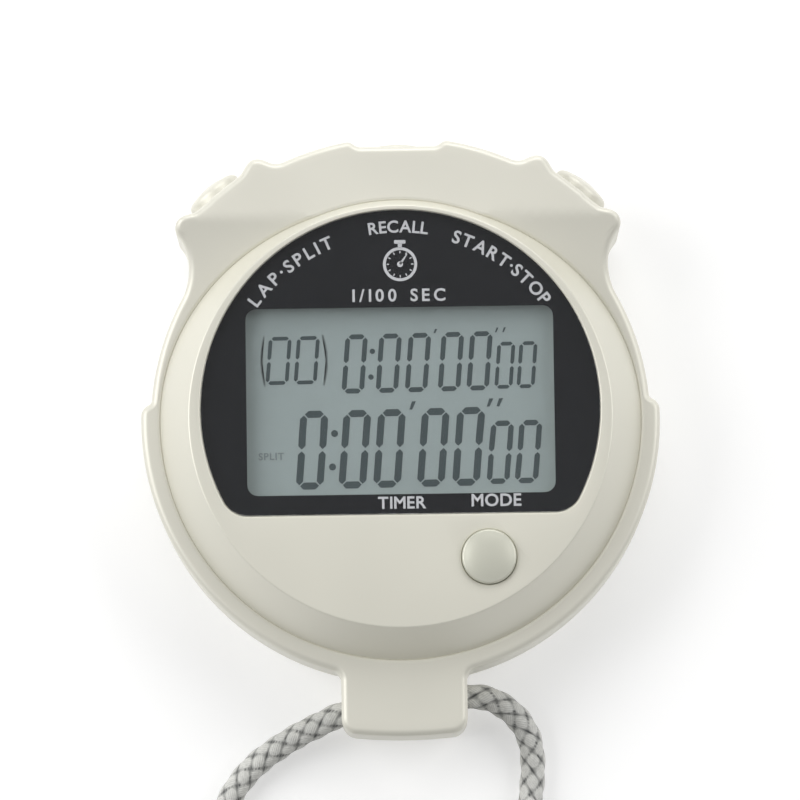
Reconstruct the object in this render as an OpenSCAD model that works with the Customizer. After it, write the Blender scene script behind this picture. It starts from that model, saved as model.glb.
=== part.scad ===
// Handheld digital stopwatch lying on its back, face up.
// +Z is out of the face, +Y points to 12 o'clock, Z = 0 is the flat of the back.

/* [Case] */
// Radius of the round case at its lower rim
case_r = 32; // [30:0.5:40]
// Height of the flat face above the back
case_h = 18; // [17.5:0.25:23]
// Height of the seam between the rear and the front case
seam_z = 5.5; // [5:0.25:6]
// Thickness of the case walls
wall = 1.8; // [1.4:0.1:2.2]
// How far the upper sides stand inside the lower rim
waist_step = 1.2; // [0.8:0.1:2]
// How far the guard over the top button stands outside the rim radius
guard_out = 2.7; // [2:0.1:4]
// How far the horn faces stand outside the rim radius
horn_out = 3.6; // [3.2:0.1:5]
// Half angle between the two side buttons
horn_angle = 38.4; // [36:0.2:42]
// Height of the lower ledge around the bezel above its seat
ledge_rise = 0.6; // [0.4:0.1:1]
// Height of the upper deck above the bezel seat
deck_rise = 4.7; // [4:0.1:5]
// Height and depth of the slope round the case's lower edge
back_round = 2.6; // [1.5:0.1:3.5]

/* [Bezel and window] */
// Radius of the flat face
face_r = 26; // [25.5:0.1:27]
// Height of the bezel's sloping ring
bezel_h = 5.6; // [5:0.1:7]
// Radius of the round part of the lens
lens_r = 24.5; // [24:0.1:25]
// How far the lens sits above the middle of the face
lens_up = 0.9; // [0.4:0.1:1.2]
// Distance from the middle of the face down to the flat edge of the lens
lens_drop = 12.1; // [11.8:0.1:12.6]
// Corner radius of the lens
lens_corner = 3.4; // [2:0.1:4]
// Thickness of the lens
lens_t = 1.2; // [1:0.1:1.6]
// Thickness of the printed mask behind the lens
mask_t = 0.2; // [0.15:0.05:0.3]
// Width of the clear window in the mask
window_w = 37.7; // [36:0.1:38.5]
// Height of the clear window in the mask
window_h = 23; // [21:0.1:23.5]
// How far the window's middle sits above the middle of the face
window_up = 1.95; // [1.6:0.05:2.2]

/* [Display] */
// Width of the liquid crystal glass
lcd_w = 41; // [40:0.2:42]
// Height of the liquid crystal glass
lcd_l = 26; // [25:0.2:27]
// Thickness of the liquid crystal glass
lcd_t = 2; // [1.6:0.1:2.4]
// Small turn of the glass in its holder, in degrees
lcd_turn = 0.6; // [0:0.1:0.8]
// Thickness of the reflector behind the glass
reflector_t = 0.3; // [0.2:0.1:0.4]
// Thickness of one elastomer connector
zebra_t = 1; // [0.8:0.1:1.1]

/* [Circuit board] */
// Thickness of the circuit board
board_t = 1; // [0.8:0.1:1.6]
// Height of the board's underside above the back
board_z = 7.4; // [7.2:0.1:8]
// Radius of the posts that hold the board
post_r = 1.6; // [1.5:0.1:2]
// Radius of the board screws' shanks
board_screw_r = 0.7; // [0.6:0.05:0.8]

/* [Buttons] */
// Height of the three top buttons' axes above the back
button_z = 9.8; // [9.7:0.05:10]
// Radius of the two side button caps
side_cap_r = 3.6; // [2.8:0.1:3.7]
// Radius of the top button cap
top_cap_r = 3; // [2.6:0.1:3.4]
// Radius of the button stems
stem_r = 1.2; // [1:0.05:1.25]
// Travel of the side buttons
side_travel = 1.2; // [0.8:0.1:1.4]
// Travel of the top button
top_travel = 0.8; // [0.6:0.1:1]
// How far a side cap stands out of its horn
side_proud = 2.2; // [1.6:0.1:2.6]
// How far the top cap stands out of its notch
top_proud = 1.1; // [0.9:0.1:1.6]
// Radius of the mode button
mode_r = 3.35; // [2.8:0.05:3.5]
// Distance of the mode button to the right of the middle
mode_x = 10.6; // [9:0.1:12]
// Distance of the mode button below the middle
mode_y = 17.5; // [17.2:0.1:18]
// How far the mode button stands out of the face
mode_proud = 1.1; // [1:0.1:1.6]
// Travel of the mode button
mode_travel = 0.8; // [0.5:0.1:0.9]
// Radial running clearance of caps, stems and the battery door
running_gap = 0.05; // [0.03:0.01:0.08]

/* [Buzzer] */
// Radius of the buzzer disc
buzzer_r = 8; // [6:0.5:9]
// How far the buzzer sits above the middle of the case
buzzer_up = 13; // [12:0.5:15]

/* [Battery] */
// Radius of the coin cell
battery_r = 10; // [9:0.1:12]
// Thickness of the coin cell
battery_t = 3.2; // [2.5:0.1:3.3]
// How far the battery sits below the middle of the case
battery_down = 13.6; // [13.2:0.1:14.2]
// Turn that frees the battery door, in degrees
door_turn = 40; // [30:1:60]

/* [Lug] */
// Width of the cord lug
lug_w = 15.5; // [12:0.5:20]
// Distance from the case rim to the end of the lug
lug_out = 7; // [6.8:0.1:9]
// Height of the underside of the lug above the back
lug_z = 1.6; // [1:0.1:2.2]
// Width of the cord slot through the lug
slot_w = 5.4; // [4:0.1:5.6]
// Height of the cord slot through the lug
slot_h = 3.9; // [3.4:0.1:4]

/* [Cord] */
// Diameter of the neck cord
cord_d = 3.2; // [2.6:0.1:3.3]

/* [Screws] */
// Radius of the case screws' shanks
screw_r = 0.9; // [0.8:0.05:1]
// Radius of the case screws' heads
screw_head_r = 1.9; // [1.6:0.1:2.1]

/* [Hidden] */
$fn = 96;

// Over-cut that carries a hole clear of the face it opens through
over = 1;

// Heights worked down from the face
seat_z = case_h - bezel_h;
ledge_z = seat_z + ledge_rise;
deck_z = seat_z + deck_rise;
lens_floor_z = case_h - lens_t - mask_t;
lens_lift = 0.2;
lens_gap = 0.1;
lens_bevel = 0.1;
face_t = 1.4;
face_under_z = lens_floor_z - face_t;
board_top = board_z + board_t;

// Small gaps: parts that rest on each other, parts dropped into a pocket, and the cavity's wall
seat_gap = 0.01;
pocket_gap = 0.4;
cavity_gap = 0.1;

// Radii worked in from the rim
waist_r = case_r - waist_step;
guard_r = case_r + guard_out;
rim_width = 2.1;
bezel_r = case_r - rim_width;
bezel_gap = 0.35;
cavity_r = case_r - 2 * wall;
seat_width = 0.8;
seat_r = cavity_r - seat_width;
flange_t = 1.2;
flange_under_z = seat_z - flange_t;
bezel_bore_r = face_r + 0.4;
board_r = cavity_r - 1.4;

// Lower rim, which reaches round to just above 3 and 9 o'clock
rim_top_y = 0.9;
rim_nose_r = 1.5;
deck_run = 24;
deck_curve_r = (pow(deck_run, 2) + pow(deck_z - ledge_z, 2)) / (2 * (deck_z - ledge_z));

// Gasket in the seam
gasket_w = 1;
gasket_h = 0.7;
gasket_inset = 0.5;
gasket_gap = 0.05;

// Top notch and the button faces, measured out from the middle of the case
notch_half = 5.4;
notch_s = case_r + 1.5;
horn_s = case_r + horn_out;
lip_v = 5.6;
lip_r = 1.5;
horn_half = lip_v + lip_r;
fillet_r = 4.5;

// Button trains
cap_wall = 0.8;
guide_t = 1.4;
clip_r = 1.9;
clip_t = 0.5;
clip_seat = 0.8;
clip_spot_gap = 0.2;
clip_slot_w = 1.2;
clip_face_s = cavity_r + clip_seat;
guide_s = clip_face_s + guide_t;
leaf_t = 0.2;
leaf_w = 3.2;
leaf_foot = 2.4;
leaf_s = board_r - 0.6;
contact_gap = 0.2;
tip_s = leaf_s + leaf_t + contact_gap;
crown_share = 0.4;
skirt_gap = 0.2;
cap_skin = 0.9;
spring_wire_r = 0.2;
spring_gap = 0.35;
side_turns = 6;
top_turns = 3;

// Mode button under the face and the snap dome below it
mode_crown = 0.5;
mode_flange_t = 0.8;
mode_flange_out = 0.7;
mode_flange_z = face_under_z - mode_flange_t - seat_gap;
mode_dome_t = 0.8;
mode_dome_r = 2.2;
mode_tip_z = board_top + mode_dome_t + mode_travel + 0.1;

buzzer_t = 0.4;
buzzer_spring_r = 1.3;
sound_hole_r = 0.6;
sound_hole_pitch = 3;

// Case and board fixings, as [radius, angle from 12 o'clock]
boss_r = 2.4;
boss_gap = 0.3;
boss_s = cavity_r - boss_r - 0.4;
case_screw_places = [for (a = [20, 132, 228, 340]) [boss_s * sin(a), boss_s * cos(a)]];
post_s = bezel_bore_r - post_r - 0.9;
board_screw_places = [[post_s, -1], [-post_s, -1], [-4, -20.5]];
screw_gap = 0.05;
screw_pass_gap = 0.15;
screw_head_t = 1.1;
screw_head_z = 0.25;
screw_l = seat_z - 3.9;
board_screw_head_r = 1.4;
board_screw_head_t = 0.8;
board_screw_l = 4;
cross_w = 0.22;

// Electronics on the board
blob_r = 4.85;
blob_t = 1.2;
crystal_r = 1.05;
crystal_l = 6;
capacitor_w = 1.2;
capacitor_l = 2;
capacitor_t = 0.8;
trimmer_r = 1.6;
trimmer_t = 1.2;

// Battery pocket
pocket_r = battery_r + 0.6;
plug_r = pocket_r - running_gap;
door_t = 1.1;
door_z = 0.2;
door_rim = 1.7;
door_r = pocket_r + door_rim;
door_gap = 0.2;
door_gasket_t = 0.38;
tab_z = door_z + door_t + door_gasket_t + 0.5;
tab_t = 0.7;
tab_reach = 0.9;
tab_angle = 30;
tab_slack = 6;
tab_gap = 0.1;
pocket_wall = 1.5;
pocket_groove_r = plug_r + tab_reach + 2 * tab_gap;
battery_z = tab_z + tab_t + 0.05;
pocket_top = min(battery_z + battery_t - 0.3, board_z - trimmer_t);
cell_step = 0.4;
strip_t = 0.3;
strip_w = 4;
minus_w = 3;
minus_l = 6;
coin_slot_l = 14;
coin_slot_w = 1.8;
coin_slot_t = 0.8;
door_skin = 1.2;

// Display stack
lcd_top = face_under_z - cavity_gap;
lcd_z = lcd_top - lcd_t;
holder_wall = 1.35;
holder_gap = 0.35;
zebra_w = lcd_w - 5;
zebra_gap = 0.2;
ledge_l = zebra_t + 2 * zebra_gap;
ledge_height = lcd_t / 2;
reflector_w = lcd_w - 1;
reflector_l = lcd_l - 2 * (ledge_l + 3 * zebra_gap);

// Lug and slot
lug_end = case_r + lug_out;
slot_y = -(case_r + 0.15 + slot_w / 2);
slot_z = lug_z + 2.05 + slot_h / 2;
lug_corner = 2;

// Cord route, as points on its centreline
cord_right_points = [
    [0, -34.8, 5.6], [4, -34.3, 5.6], [8, -33.85, 5.5], [10.4, -34.1, 4.9], [12.4, -35.1, 4.2],
    [14.1, -36.6, 3.3], [15.3, -38.6, 2.4], [15.8, -41, 1.8], [15.8, -43.6, 1.6],
    [15.5, -46.6, 1.6], [15.6, -50.5, 1.6], [16.4, -55, 1.6], [17.4, -60, 1.6],
    [18.1, -66, 1.6], [18.4, -73, 1.6]
];
cord_left_points = [
    [0, -34.8, 5.6], [-4, -35.3, 5.6], [-7.6, -35.75, 5.5], [-10.4, -36.9, 4.3], [-13.2, -38.2, 3.2],
    [-15.8, -39.7, 2.3], [-18.2, -41.4, 1.8], [-20.2, -43.4, 1.6], [-21.8, -45.8, 1.6],
    [-23.1, -49.2, 1.7], [-24.3, -54, 2.4], [-25.4, -60, 3.8], [-26.2, -66, 4.6],
    [-26.4, -73, 4.8]
];
coil_x = -4;
coil_y = -73;
coil_outer = 22.4;
coil_inner = 11.8;
coil_layers = 2;

// ---- shared shapes ----

// Moves a shape drawn along +Y from the middle of the case onto a button's axis
module on_axis(angle) {
    rotate([0, 0, -angle]) translate([0, 0, button_z]) rotate([-90, 0, 0]) children();
}

// A turned solid on a button axis between two distances from the middle
module axis_rod(angle, from_s, to_s, r) {
    on_axis(angle) translate([0, 0, from_s]) cylinder(h = to_s - from_s, r = r);
}

// Outline of the lens: a round shape with a flat lower edge and two rounded corners
module lens_outline(grow = 0) {
    r = lens_r + grow;
    c = lens_corner + grow;
    flat_y = -lens_drop - grow;
    corner_y = flat_y + c;
    corner_x = sqrt(pow(r - c, 2) - pow(corner_y - lens_up, 2));
    touch_y = lens_up + (corner_y - lens_up) * r / (r - c);
    intersection() {
        translate([0, lens_up]) circle(r = r, $fn = 180);
        translate([-r, touch_y]) square([2 * r, 2 * r]);
    }
    for (side = [-1, 1]) translate([side * corner_x, corner_y]) circle(r = c);
    translate([-corner_x, flat_y]) square([2 * corner_x, touch_y - flat_y]);
}

// Concave fillet between the horn's flank and the round waist, in the horn's own frame
module horn_fillet() {
    flank_x = horn_half;
    c_x = flank_x + fillet_r;
    c_y = sqrt(pow(waist_r + fillet_r, 2) - c_x * c_x);
    touch = waist_r / (waist_r + fillet_r);
    difference() {
        polygon([[0, waist_r - 3], [flank_x, c_y], [c_x * touch, c_y * touch], [c_x * touch, c_y * touch - 4]]);
        translate([c_x, c_y]) circle(r = fillet_r);
    }
}

// One horn with its two lips, in a frame where the button points along +Y
module horn_outline() {
    translate([-horn_half, 0]) square([2 * horn_half, horn_s - 0.6]);
    translate([-lip_v, 0]) square([2 * lip_v, horn_s]);
    for (side = [-1, 1]) translate([side * lip_v, horn_s - 0.9]) circle(r = lip_r);
    horn_fillet();
}

// Upper part of the case outline: waist, top guard with its notch, and both horns
module upper_outline() {
    reach = case_r + 8;
    difference() {
        union() {
            circle(r = waist_r, $fn = 180);
            intersection() {
                circle(r = guard_r, $fn = 180);
                polygon([[0, 0], [-reach * tan(horn_angle), reach], [reach * tan(horn_angle), reach]]);
            }
            rotate(-horn_angle) horn_outline();
            rotate(horn_angle) mirror([1, 0]) horn_outline();
        }
        translate([-notch_half, notch_s]) square([2 * notch_half, case_r]);
    }
}

// Lower rim with rounded ends at its two upper corners
module rim_outline() {
    intersection() {
        circle(r = case_r, $fn = 180);
        translate([-2 * case_r, -2 * case_r]) square([4 * case_r, 2 * case_r + rim_top_y]);
    }
    end_x = sqrt(pow(case_r - rim_nose_r, 2) - pow(rim_top_y, 2));
    for (side = [-1, 1]) translate([side * end_x, rim_top_y]) circle(r = rim_nose_r);
}

// Lug outline with rounded outer corners
module lug_outline(from_y) {
    half = lug_w / 2;
    translate([-half, -lug_end + lug_corner]) square([lug_w, lug_end - lug_corner - from_y]);
    translate([-half + lug_corner, -lug_end]) square([lug_w - 2 * lug_corner, lug_corner]);
    for (side = [-1, 1]) {
        translate([side * (half - lug_corner), -lug_end + lug_corner]) circle(r = lug_corner);
    }
}

// A compression spring along +Z: one tube swept round a helix
module coil_spring(length, r, turns) {
    sides = 6;
    steps = turns * 12;
    function ring(i) =
        let (t = i / steps, a = 360 * turns * t, z = spring_wire_r + t * (length - 2 * spring_wire_r))
        [for (k = [0 : sides - 1])
            let (b = 360 * k / sides, q = r + spring_wire_r * cos(b))
            [q * cos(a), q * sin(a), z + spring_wire_r * sin(b)]];
    points = [for (i = [0 : steps]) each ring(i)];
    walls = [for (i = [0 : steps - 1], k = [0 : sides - 1])
        let (n = (k + 1) % sides)
        [i * sides + k, (i + 1) * sides + k, (i + 1) * sides + n, i * sides + n]];
    first = [for (k = [0 : sides - 1]) k];
    last = [for (k = [sides - 1 : -1 : 0]) steps * sides + k];
    polyhedron(points = points, faces = concat(walls, [first], [last]), convexity = 10);
}

// A tube along a list of points, with a ring square to the path at each point
module cord_tube(path) {
    sides = 8;
    count = len(path);
    function along(i) =
        let (v = path[min(i + 1, count - 1)] - path[max(i - 1, 0)])
        v / norm(v);
    function ring(i) =
        let (t = along(i), side_v = cross(t, [0, 0, 1]), u = side_v / norm(side_v), w = cross(u, t))
        [for (k = [0 : sides - 1])
            let (b = 360 * (k + 0.5) / sides)
            path[i] + cord_d / 2 * (cos(b) * u + sin(b) * w)];
    points = [for (i = [0 : count - 1]) each ring(i)];
    walls = [for (i = [0 : count - 2], k = [0 : sides - 1])
        let (n = (k + 1) % sides)
        [i * sides + k, i * sides + n, (i + 1) * sides + n, (i + 1) * sides + k]];
    first = [for (k = [sides - 1 : -1 : 0]) k];
    last = [for (k = [0 : sides - 1]) (count - 1) * sides + k];
    polyhedron(points = points, faces = concat(walls, [first], [last]), convexity = 10);
}

// Stepped hole for one button train, cut out of the front case
module button_hole(angle, face_s, cap_r) {
    axis_rod(angle, guide_s, face_s + 4, cap_r + running_gap);
    axis_rod(angle, cavity_r - 3, guide_s + over, stem_r + running_gap);
    axis_rod(angle, cavity_r - 3, clip_face_s, clip_r + clip_spot_gap);
}

// ---- case ----

module front_case() {
    color([0.87, 0.86, 0.82]) difference() {
        union() {
            translate([0, 0, seam_z]) linear_extrude(deck_z - seam_z) upper_outline();
            translate([0, 0, seam_z]) linear_extrude(ledge_z - seam_z) rim_outline();
            translate([0, 0, seam_z]) linear_extrude(ledge_z - seam_z) lug_outline(case_r - 3);
            translate([0, 0, lug_z]) linear_extrude(seam_z - lug_z + over) lug_outline(case_r + 0.1);
        }
        // the deck curves down to the ledge, which is flat over the lower half
        translate([-2 * case_r, -2 * case_r, ledge_z]) cube([4 * case_r, 2 * case_r + rim_top_y, case_r]);
        translate([-2 * case_r, rim_top_y, ledge_z + deck_curve_r]) rotate([0, 90, 0]) {
            cylinder(h = 4 * case_r, r = deck_curve_r, $fn = 180);
        }
        // board cavity, bezel seat and the sloping bezel pocket above it
        translate([0, 0, seam_z - over]) cylinder(h = flange_under_z - seam_z + over, r = cavity_r, $fn = 180);
        translate([0, 0, seam_z]) cylinder(h = case_h, r = seat_r, $fn = 180);
        bezel_body(bezel_gap);
        gasket_ring(gasket_gap);
        button_hole(horn_angle, horn_s, side_cap_r);
        button_hole(-horn_angle, horn_s, side_cap_r);
        button_hole(0, notch_s, top_cap_r);
        cord_slot();
    }
    // screw bosses under the seat flange
    color([0.87, 0.86, 0.82]) for (p = case_screw_places) difference() {
        translate([p[0], p[1], seam_z]) cylinder(h = seat_z - cavity_gap - seam_z, r = boss_r);
        translate([p[0], p[1], seam_z - over]) cylinder(h = seat_z - seam_z - over, r = screw_r + screw_gap);
    }
}

// Cord slot with round ends, straight through the lug
module cord_slot() {
    span = slot_w - slot_h;
    translate([-lug_w, slot_y - span / 2, slot_z - slot_h / 2]) cube([2 * lug_w, span, slot_h]);
    for (side = [-1, 1]) translate([-lug_w, slot_y + side * span / 2, slot_z]) {
        rotate([0, 90, 0]) cylinder(h = 2 * lug_w, r = slot_h / 2);
    }
}

// Rear case: a shallow dish with a sloped lower edge
module rear_case() {
    color([0.84, 0.83, 0.79]) difference() {
        union() {
            rear_shell();
            intersection() {
                translate([0, -battery_down, wall - over]) {
                    cylinder(h = pocket_top - wall + over, r = pocket_groove_r + pocket_wall);
                }
                cylinder(h = case_h, r = cavity_r - cavity_gap, $fn = 180);
            }
            for (p = case_screw_places) {
                translate([p[0], p[1], wall - over]) cylinder(h = seam_z - wall + over, r = boss_r);
            }
        }
        battery_pocket();
        for (p = case_screw_places) screw_hole(p);
        gasket_ring(gasket_gap);
        for (k = [-1, 0, 1]) translate([k * sound_hole_pitch, buzzer_up, -over]) {
            cylinder(h = wall + 2 * over, r = sound_hole_r);
        }
    }
}

module rear_shell() {
    difference() {
        union() {
            translate([0, 0, back_round]) linear_extrude(seam_z - back_round) union() {
                upper_outline();
                rim_outline();
            }
            cylinder(h = back_round + 0.1, r1 = waist_r - back_round, r2 = waist_r - 0.1, $fn = 180);
            for (angle = [-horn_angle, horn_angle]) rotate(-angle) horn_foot(horn_s - 1.4);
            horn_foot(notch_s - 1.4);
        }
        translate([0, 0, wall]) cylinder(h = seam_z, r = cavity_r, $fn = 180);
    }
}

// Sloped underside below a horn or the top guard
module horn_foot(reach) {
    width = 2 * horn_half - 3;
    rotate([90, 0, 90]) translate([0, 0, -width / 2]) linear_extrude(width) {
        polygon([[waist_r - 6, 0.6], [waist_r - back_round, 0.6], [reach, back_round + 0.1], [waist_r - 6, back_round + 0.1]]);
    }
}

// Opening for the battery door, the groove for its tabs and the cell pocket
module battery_pocket() {
    translate([0, -battery_down, 0]) {
        translate([0, 0, -over]) cylinder(h = door_z + door_t + door_gasket_t + 0.02 + over, r = door_r + door_gap);
        translate([0, 0, -over]) cylinder(h = case_h, r = pocket_r);
        translate([0, 0, tab_z - tab_gap]) cylinder(h = tab_t + 2 * tab_gap, r = pocket_groove_r);
        for (side = [0, 180]) rotate(side - door_turn) {
            tab_sector(pocket_groove_r - running_gap, -over, tab_z + over, tab_angle + tab_slack);
        }
    }
}

// A sector of a round plate, used for the bayonet tabs and their entry slots
module tab_sector(r, z, h, angle) {
    translate([0, 0, z]) linear_extrude(h) intersection() {
        circle(r = r);
        polygon([[0, 0], [2 * r * cos(angle / 2), -2 * r * sin(angle / 2)], [2 * r * cos(angle / 2), 2 * r * sin(angle / 2)]]);
    }
}

// Sloping ring and flat face of the bezel, as one turned solid
module bezel_body(gap = 0) {
    translate([0, 0, seat_z]) cylinder(h = bezel_h, r1 = bezel_r + gap, r2 = face_r + gap, $fn = 180);
}

module face_bezel() {
    color([0.9, 0.89, 0.86]) difference() {
        union() {
            bezel_body();
            for (p = board_screw_places) {
                translate([p[0], p[1], board_top]) cylinder(h = face_under_z - board_top + over, r = post_r);
            }
        }
        difference() {
            translate([0, 0, seat_z - over]) cylinder(h = face_under_z - seat_z + over, r = bezel_bore_r, $fn = 180);
            for (p = board_screw_places) translate([p[0], p[1], 0]) cylinder(h = case_h, r = post_r);
        }
        translate([0, 0, lens_floor_z]) linear_extrude(case_h) lens_outline(lens_gap);
        translate([-window_w / 2 - pocket_gap, window_up - window_h / 2 - pocket_gap, face_under_z - over]) {
            cube([window_w + 2 * pocket_gap, window_h + 2 * pocket_gap, case_h]);
        }
        translate([mode_x, -mode_y, 0]) cylinder(h = 2 * case_h, r = mode_r + running_gap);
        for (p = board_screw_places) {
            translate([p[0], p[1], board_top - over]) cylinder(h = board_screw_l + 0.5 + over, r = board_screw_r + screw_gap);
        }
    }
}

// Square-section ring between the two case halves
module gasket_ring(gap = 0) {
    translate([0, 0, seam_z - gasket_h / 2 - gap]) rotate_extrude($fn = 180) {
        translate([cavity_r + gasket_inset - gap, 0]) square([gasket_w + 2 * gap, gasket_h + 2 * gap]);
    }
}

module case_gasket() {
    color([0.12, 0.12, 0.12]) gasket_ring();
}

// Countersunk hole for a case screw
module screw_hole(p) {
    translate([p[0], p[1], -over]) cylinder(h = case_h, r = screw_r + screw_pass_gap);
    translate([p[0], p[1], -over]) {
        cylinder(h = screw_head_z + screw_head_t + over, r = screw_head_r + screw_pass_gap);
    }
}

module case_screws() {
    color([0.72, 0.72, 0.72]) for (p = case_screw_places) translate([p[0], p[1], 0]) difference() {
        union() {
            translate([0, 0, screw_head_z]) cylinder(h = screw_head_t, r = screw_head_r, $fn = 48);
            translate([0, 0, screw_head_z + screw_head_t - 0.05]) cylinder(h = screw_l, r = screw_r, $fn = 48);
        }
        for (turn = [0, 90]) rotate(turn) {
            translate([-1.1, -cross_w, -over]) cube([2.2, 2 * cross_w, over + screw_head_z + 0.6]);
        }
    }
}

// ---- window and display ----

module lens() {
    color([0.05, 0.06, 0.07, 0.35]) translate([0, 0, lens_floor_z + mask_t]) {
        linear_extrude(lens_t + lens_lift - lens_bevel) lens_outline();
        translate([0, 0, lens_t + lens_lift - lens_bevel]) linear_extrude(lens_bevel) {
            lens_outline(-1.5 * lens_bevel);
        }
    }
}

module window_mask() {
    color([0.1, 0.11, 0.13]) translate([0, 0, lens_floor_z]) linear_extrude(mask_t) difference() {
        lens_outline();
        translate([-window_w / 2, window_up - window_h / 2]) square([window_w, window_h]);
    }
}

// A plate centred on the display, turned with the glass
module display_plate(w, l, z, t) {
    translate([0, window_up, z]) rotate(lcd_turn) translate([-w / 2, -l / 2, 0]) cube([w, l, t]);
}

module lcd_glass() {
    color([0.62, 0.66, 0.65]) difference() {
        display_plate(lcd_w, lcd_l, lcd_z, lcd_t);
        // the upper sheet stands out over the lower one as two contact ledges
        for (turn = [0, 180]) translate([0, window_up, 0]) rotate(lcd_turn + turn) {
            translate([-lcd_w, lcd_l / 2 - ledge_l, lcd_z - over]) {
                cube([2 * lcd_w, ledge_l + over, ledge_height + over]);
            }
        }
    }
}

module lcd_reflector() {
    color([0.8, 0.82, 0.8]) display_plate(reflector_w, reflector_l, lcd_z - reflector_t, reflector_t);
}

// Two elastomer strips that carry the signals from the board up to the glass ledges
module zebra_strips() {
    color([0.2, 0.2, 0.2]) for (turn = [0, 180]) translate([0, window_up, board_top]) rotate(lcd_turn + turn) {
        translate([-zebra_w / 2, lcd_l / 2 - zebra_gap - zebra_t, 0]) {
            cube([zebra_w, zebra_t, lcd_z + ledge_height - board_top]);
        }
    }
}

module lcd_holder() {
    pocket_w = lcd_w + 2 * holder_gap;
    pocket_l = lcd_l + 2 * holder_gap;
    frame_w = pocket_w + 2 * (holder_wall - holder_gap);
    frame_l = pocket_l + 2 * holder_wall;
    color([0.85, 0.85, 0.82]) difference() {
        intersection() {
            translate([-frame_w / 2, window_up - frame_l / 2, board_top]) {
                cube([frame_w, frame_l, lcd_top - board_top]);
            }
            cylinder(h = case_h, r = bezel_bore_r - 2 * cavity_gap, $fn = 180);
        }
        translate([-pocket_w / 2, window_up - pocket_l / 2, lcd_z - reflector_t - cavity_gap]) {
            cube([pocket_w, pocket_l, case_h]);
        }
        translate([-zebra_w / 2 - holder_gap, window_up - pocket_l / 2, 0]) {
            cube([zebra_w + 2 * holder_gap, pocket_l, case_h]);
        }
    }
}

// ---- board and electronics ----

module circuit_board() {
    color([0.1, 0.35, 0.18]) difference() {
        translate([0, 0, board_z]) cylinder(h = board_t, r = board_r, $fn = 180);
        for (p = case_screw_places) translate([p[0], p[1], 0]) cylinder(h = case_h, r = boss_r + boss_gap);
        for (p = board_screw_places) translate([p[0], p[1], 0]) cylinder(h = case_h, r = board_screw_r + screw_pass_gap);
    }
}

module board_screws() {
    color([0.75, 0.75, 0.72]) for (p = board_screw_places) translate([p[0], p[1], 0]) difference() {
        union() {
            translate([0, 0, board_z - board_screw_head_t]) {
                cylinder(h = board_screw_head_t, r = board_screw_head_r, $fn = 48);
            }
            translate([0, 0, board_z - 0.1]) cylinder(h = board_t + board_screw_l, r = board_screw_r, $fn = 48);
        }
        for (turn = [0, 90]) rotate(turn) {
            translate([-0.8, -0.15, board_z - board_screw_head_t - over]) cube([1.6, 0.3, over + 0.4]);
        }
    }
}

module chip_blob() {
    ball_r = (blob_r * blob_r + blob_t * blob_t) / (2 * blob_t);
    color([0.06, 0.06, 0.06]) translate([-9, 8.5, board_z]) difference() {
        translate([0, 0, ball_r - blob_t]) sphere(r = ball_r, $fn = 96);
        translate([-2 * ball_r, -2 * ball_r, 0]) cube(4 * ball_r);
    }
}

module crystal_can() {
    color([0.8, 0.8, 0.82]) translate([7, 6.5, board_z - crystal_r]) rotate([0, 90, 0]) {
        cylinder(h = crystal_l, r = crystal_r, $fn = 48);
        translate([0, 0, -0.6]) cylinder(h = 0.7, r = crystal_r - 0.35, $fn = 48);
    }
}

module board_capacitors() {
    color([0.72, 0.6, 0.42]) for (i = [0 : 3]) {
        translate([8 + 2 * capacitor_w * i, 10.5, board_z - capacitor_t]) {
            cube([capacitor_w, capacitor_l, capacitor_t]);
        }
    }
}

module trimmer() {
    color([0.25, 0.4, 0.7]) translate([15.2, 2.5, board_z - trimmer_t]) difference() {
        cylinder(h = trimmer_t, r = trimmer_r, $fn = 48);
        translate([-1, -0.2, -over]) cube([2, 0.4, over + 0.4]);
    }
}

module buzzer_disc() {
    color([0.8, 0.66, 0.3]) translate([0, buzzer_up, wall]) {
        cylinder(h = buzzer_t / 2, r = buzzer_r);
        translate([0, 0, buzzer_t / 2]) cylinder(h = buzzer_t / 2, r = 0.7 * buzzer_r);
    }
}

module buzzer_spring() {
    color([0.8, 0.7, 0.4]) translate([0, buzzer_up, wall + buzzer_t]) {
        coil_spring(board_z - wall - buzzer_t, buzzer_spring_r, side_turns);
    }
}

// ---- battery ----

module battery() {
    color([0.78, 0.78, 0.76]) translate([0, -battery_down, battery_z]) {
        cylinder(h = battery_t - cell_step, r = battery_r);
        translate([0, 0, battery_t - cell_step]) cylinder(h = cell_step, r = battery_r - 3 * cell_step);
    }
}

// Strip that reaches down the side of the cell from the board
module battery_plus_clip() {
    x = battery_r + 0.1;
    color([0.82, 0.78, 0.6]) translate([x, -battery_down - strip_w / 2, 0]) {
        translate([0, 0, battery_z + 0.5]) cube([strip_t, strip_w, board_z - battery_z - 0.5]);
        translate([0, 0, board_z - strip_t]) cube([strip_w, strip_w, strip_t]);
    }
}

// Spring strip between the board and the top of the cell
module battery_minus_contact() {
    top = battery_z + battery_t;
    color([0.82, 0.78, 0.6]) translate([-minus_w / 2, -battery_down - 0.7 * battery_r, 0]) {
        translate([0, 0, board_z - leaf_t]) cube([minus_w, minus_l + 2, leaf_t]);
        translate([0, 0, top]) cube([minus_w, leaf_t, board_z - top]);
        translate([0, 0, top]) cube([minus_w, minus_l, leaf_t]);
    }
}

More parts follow.
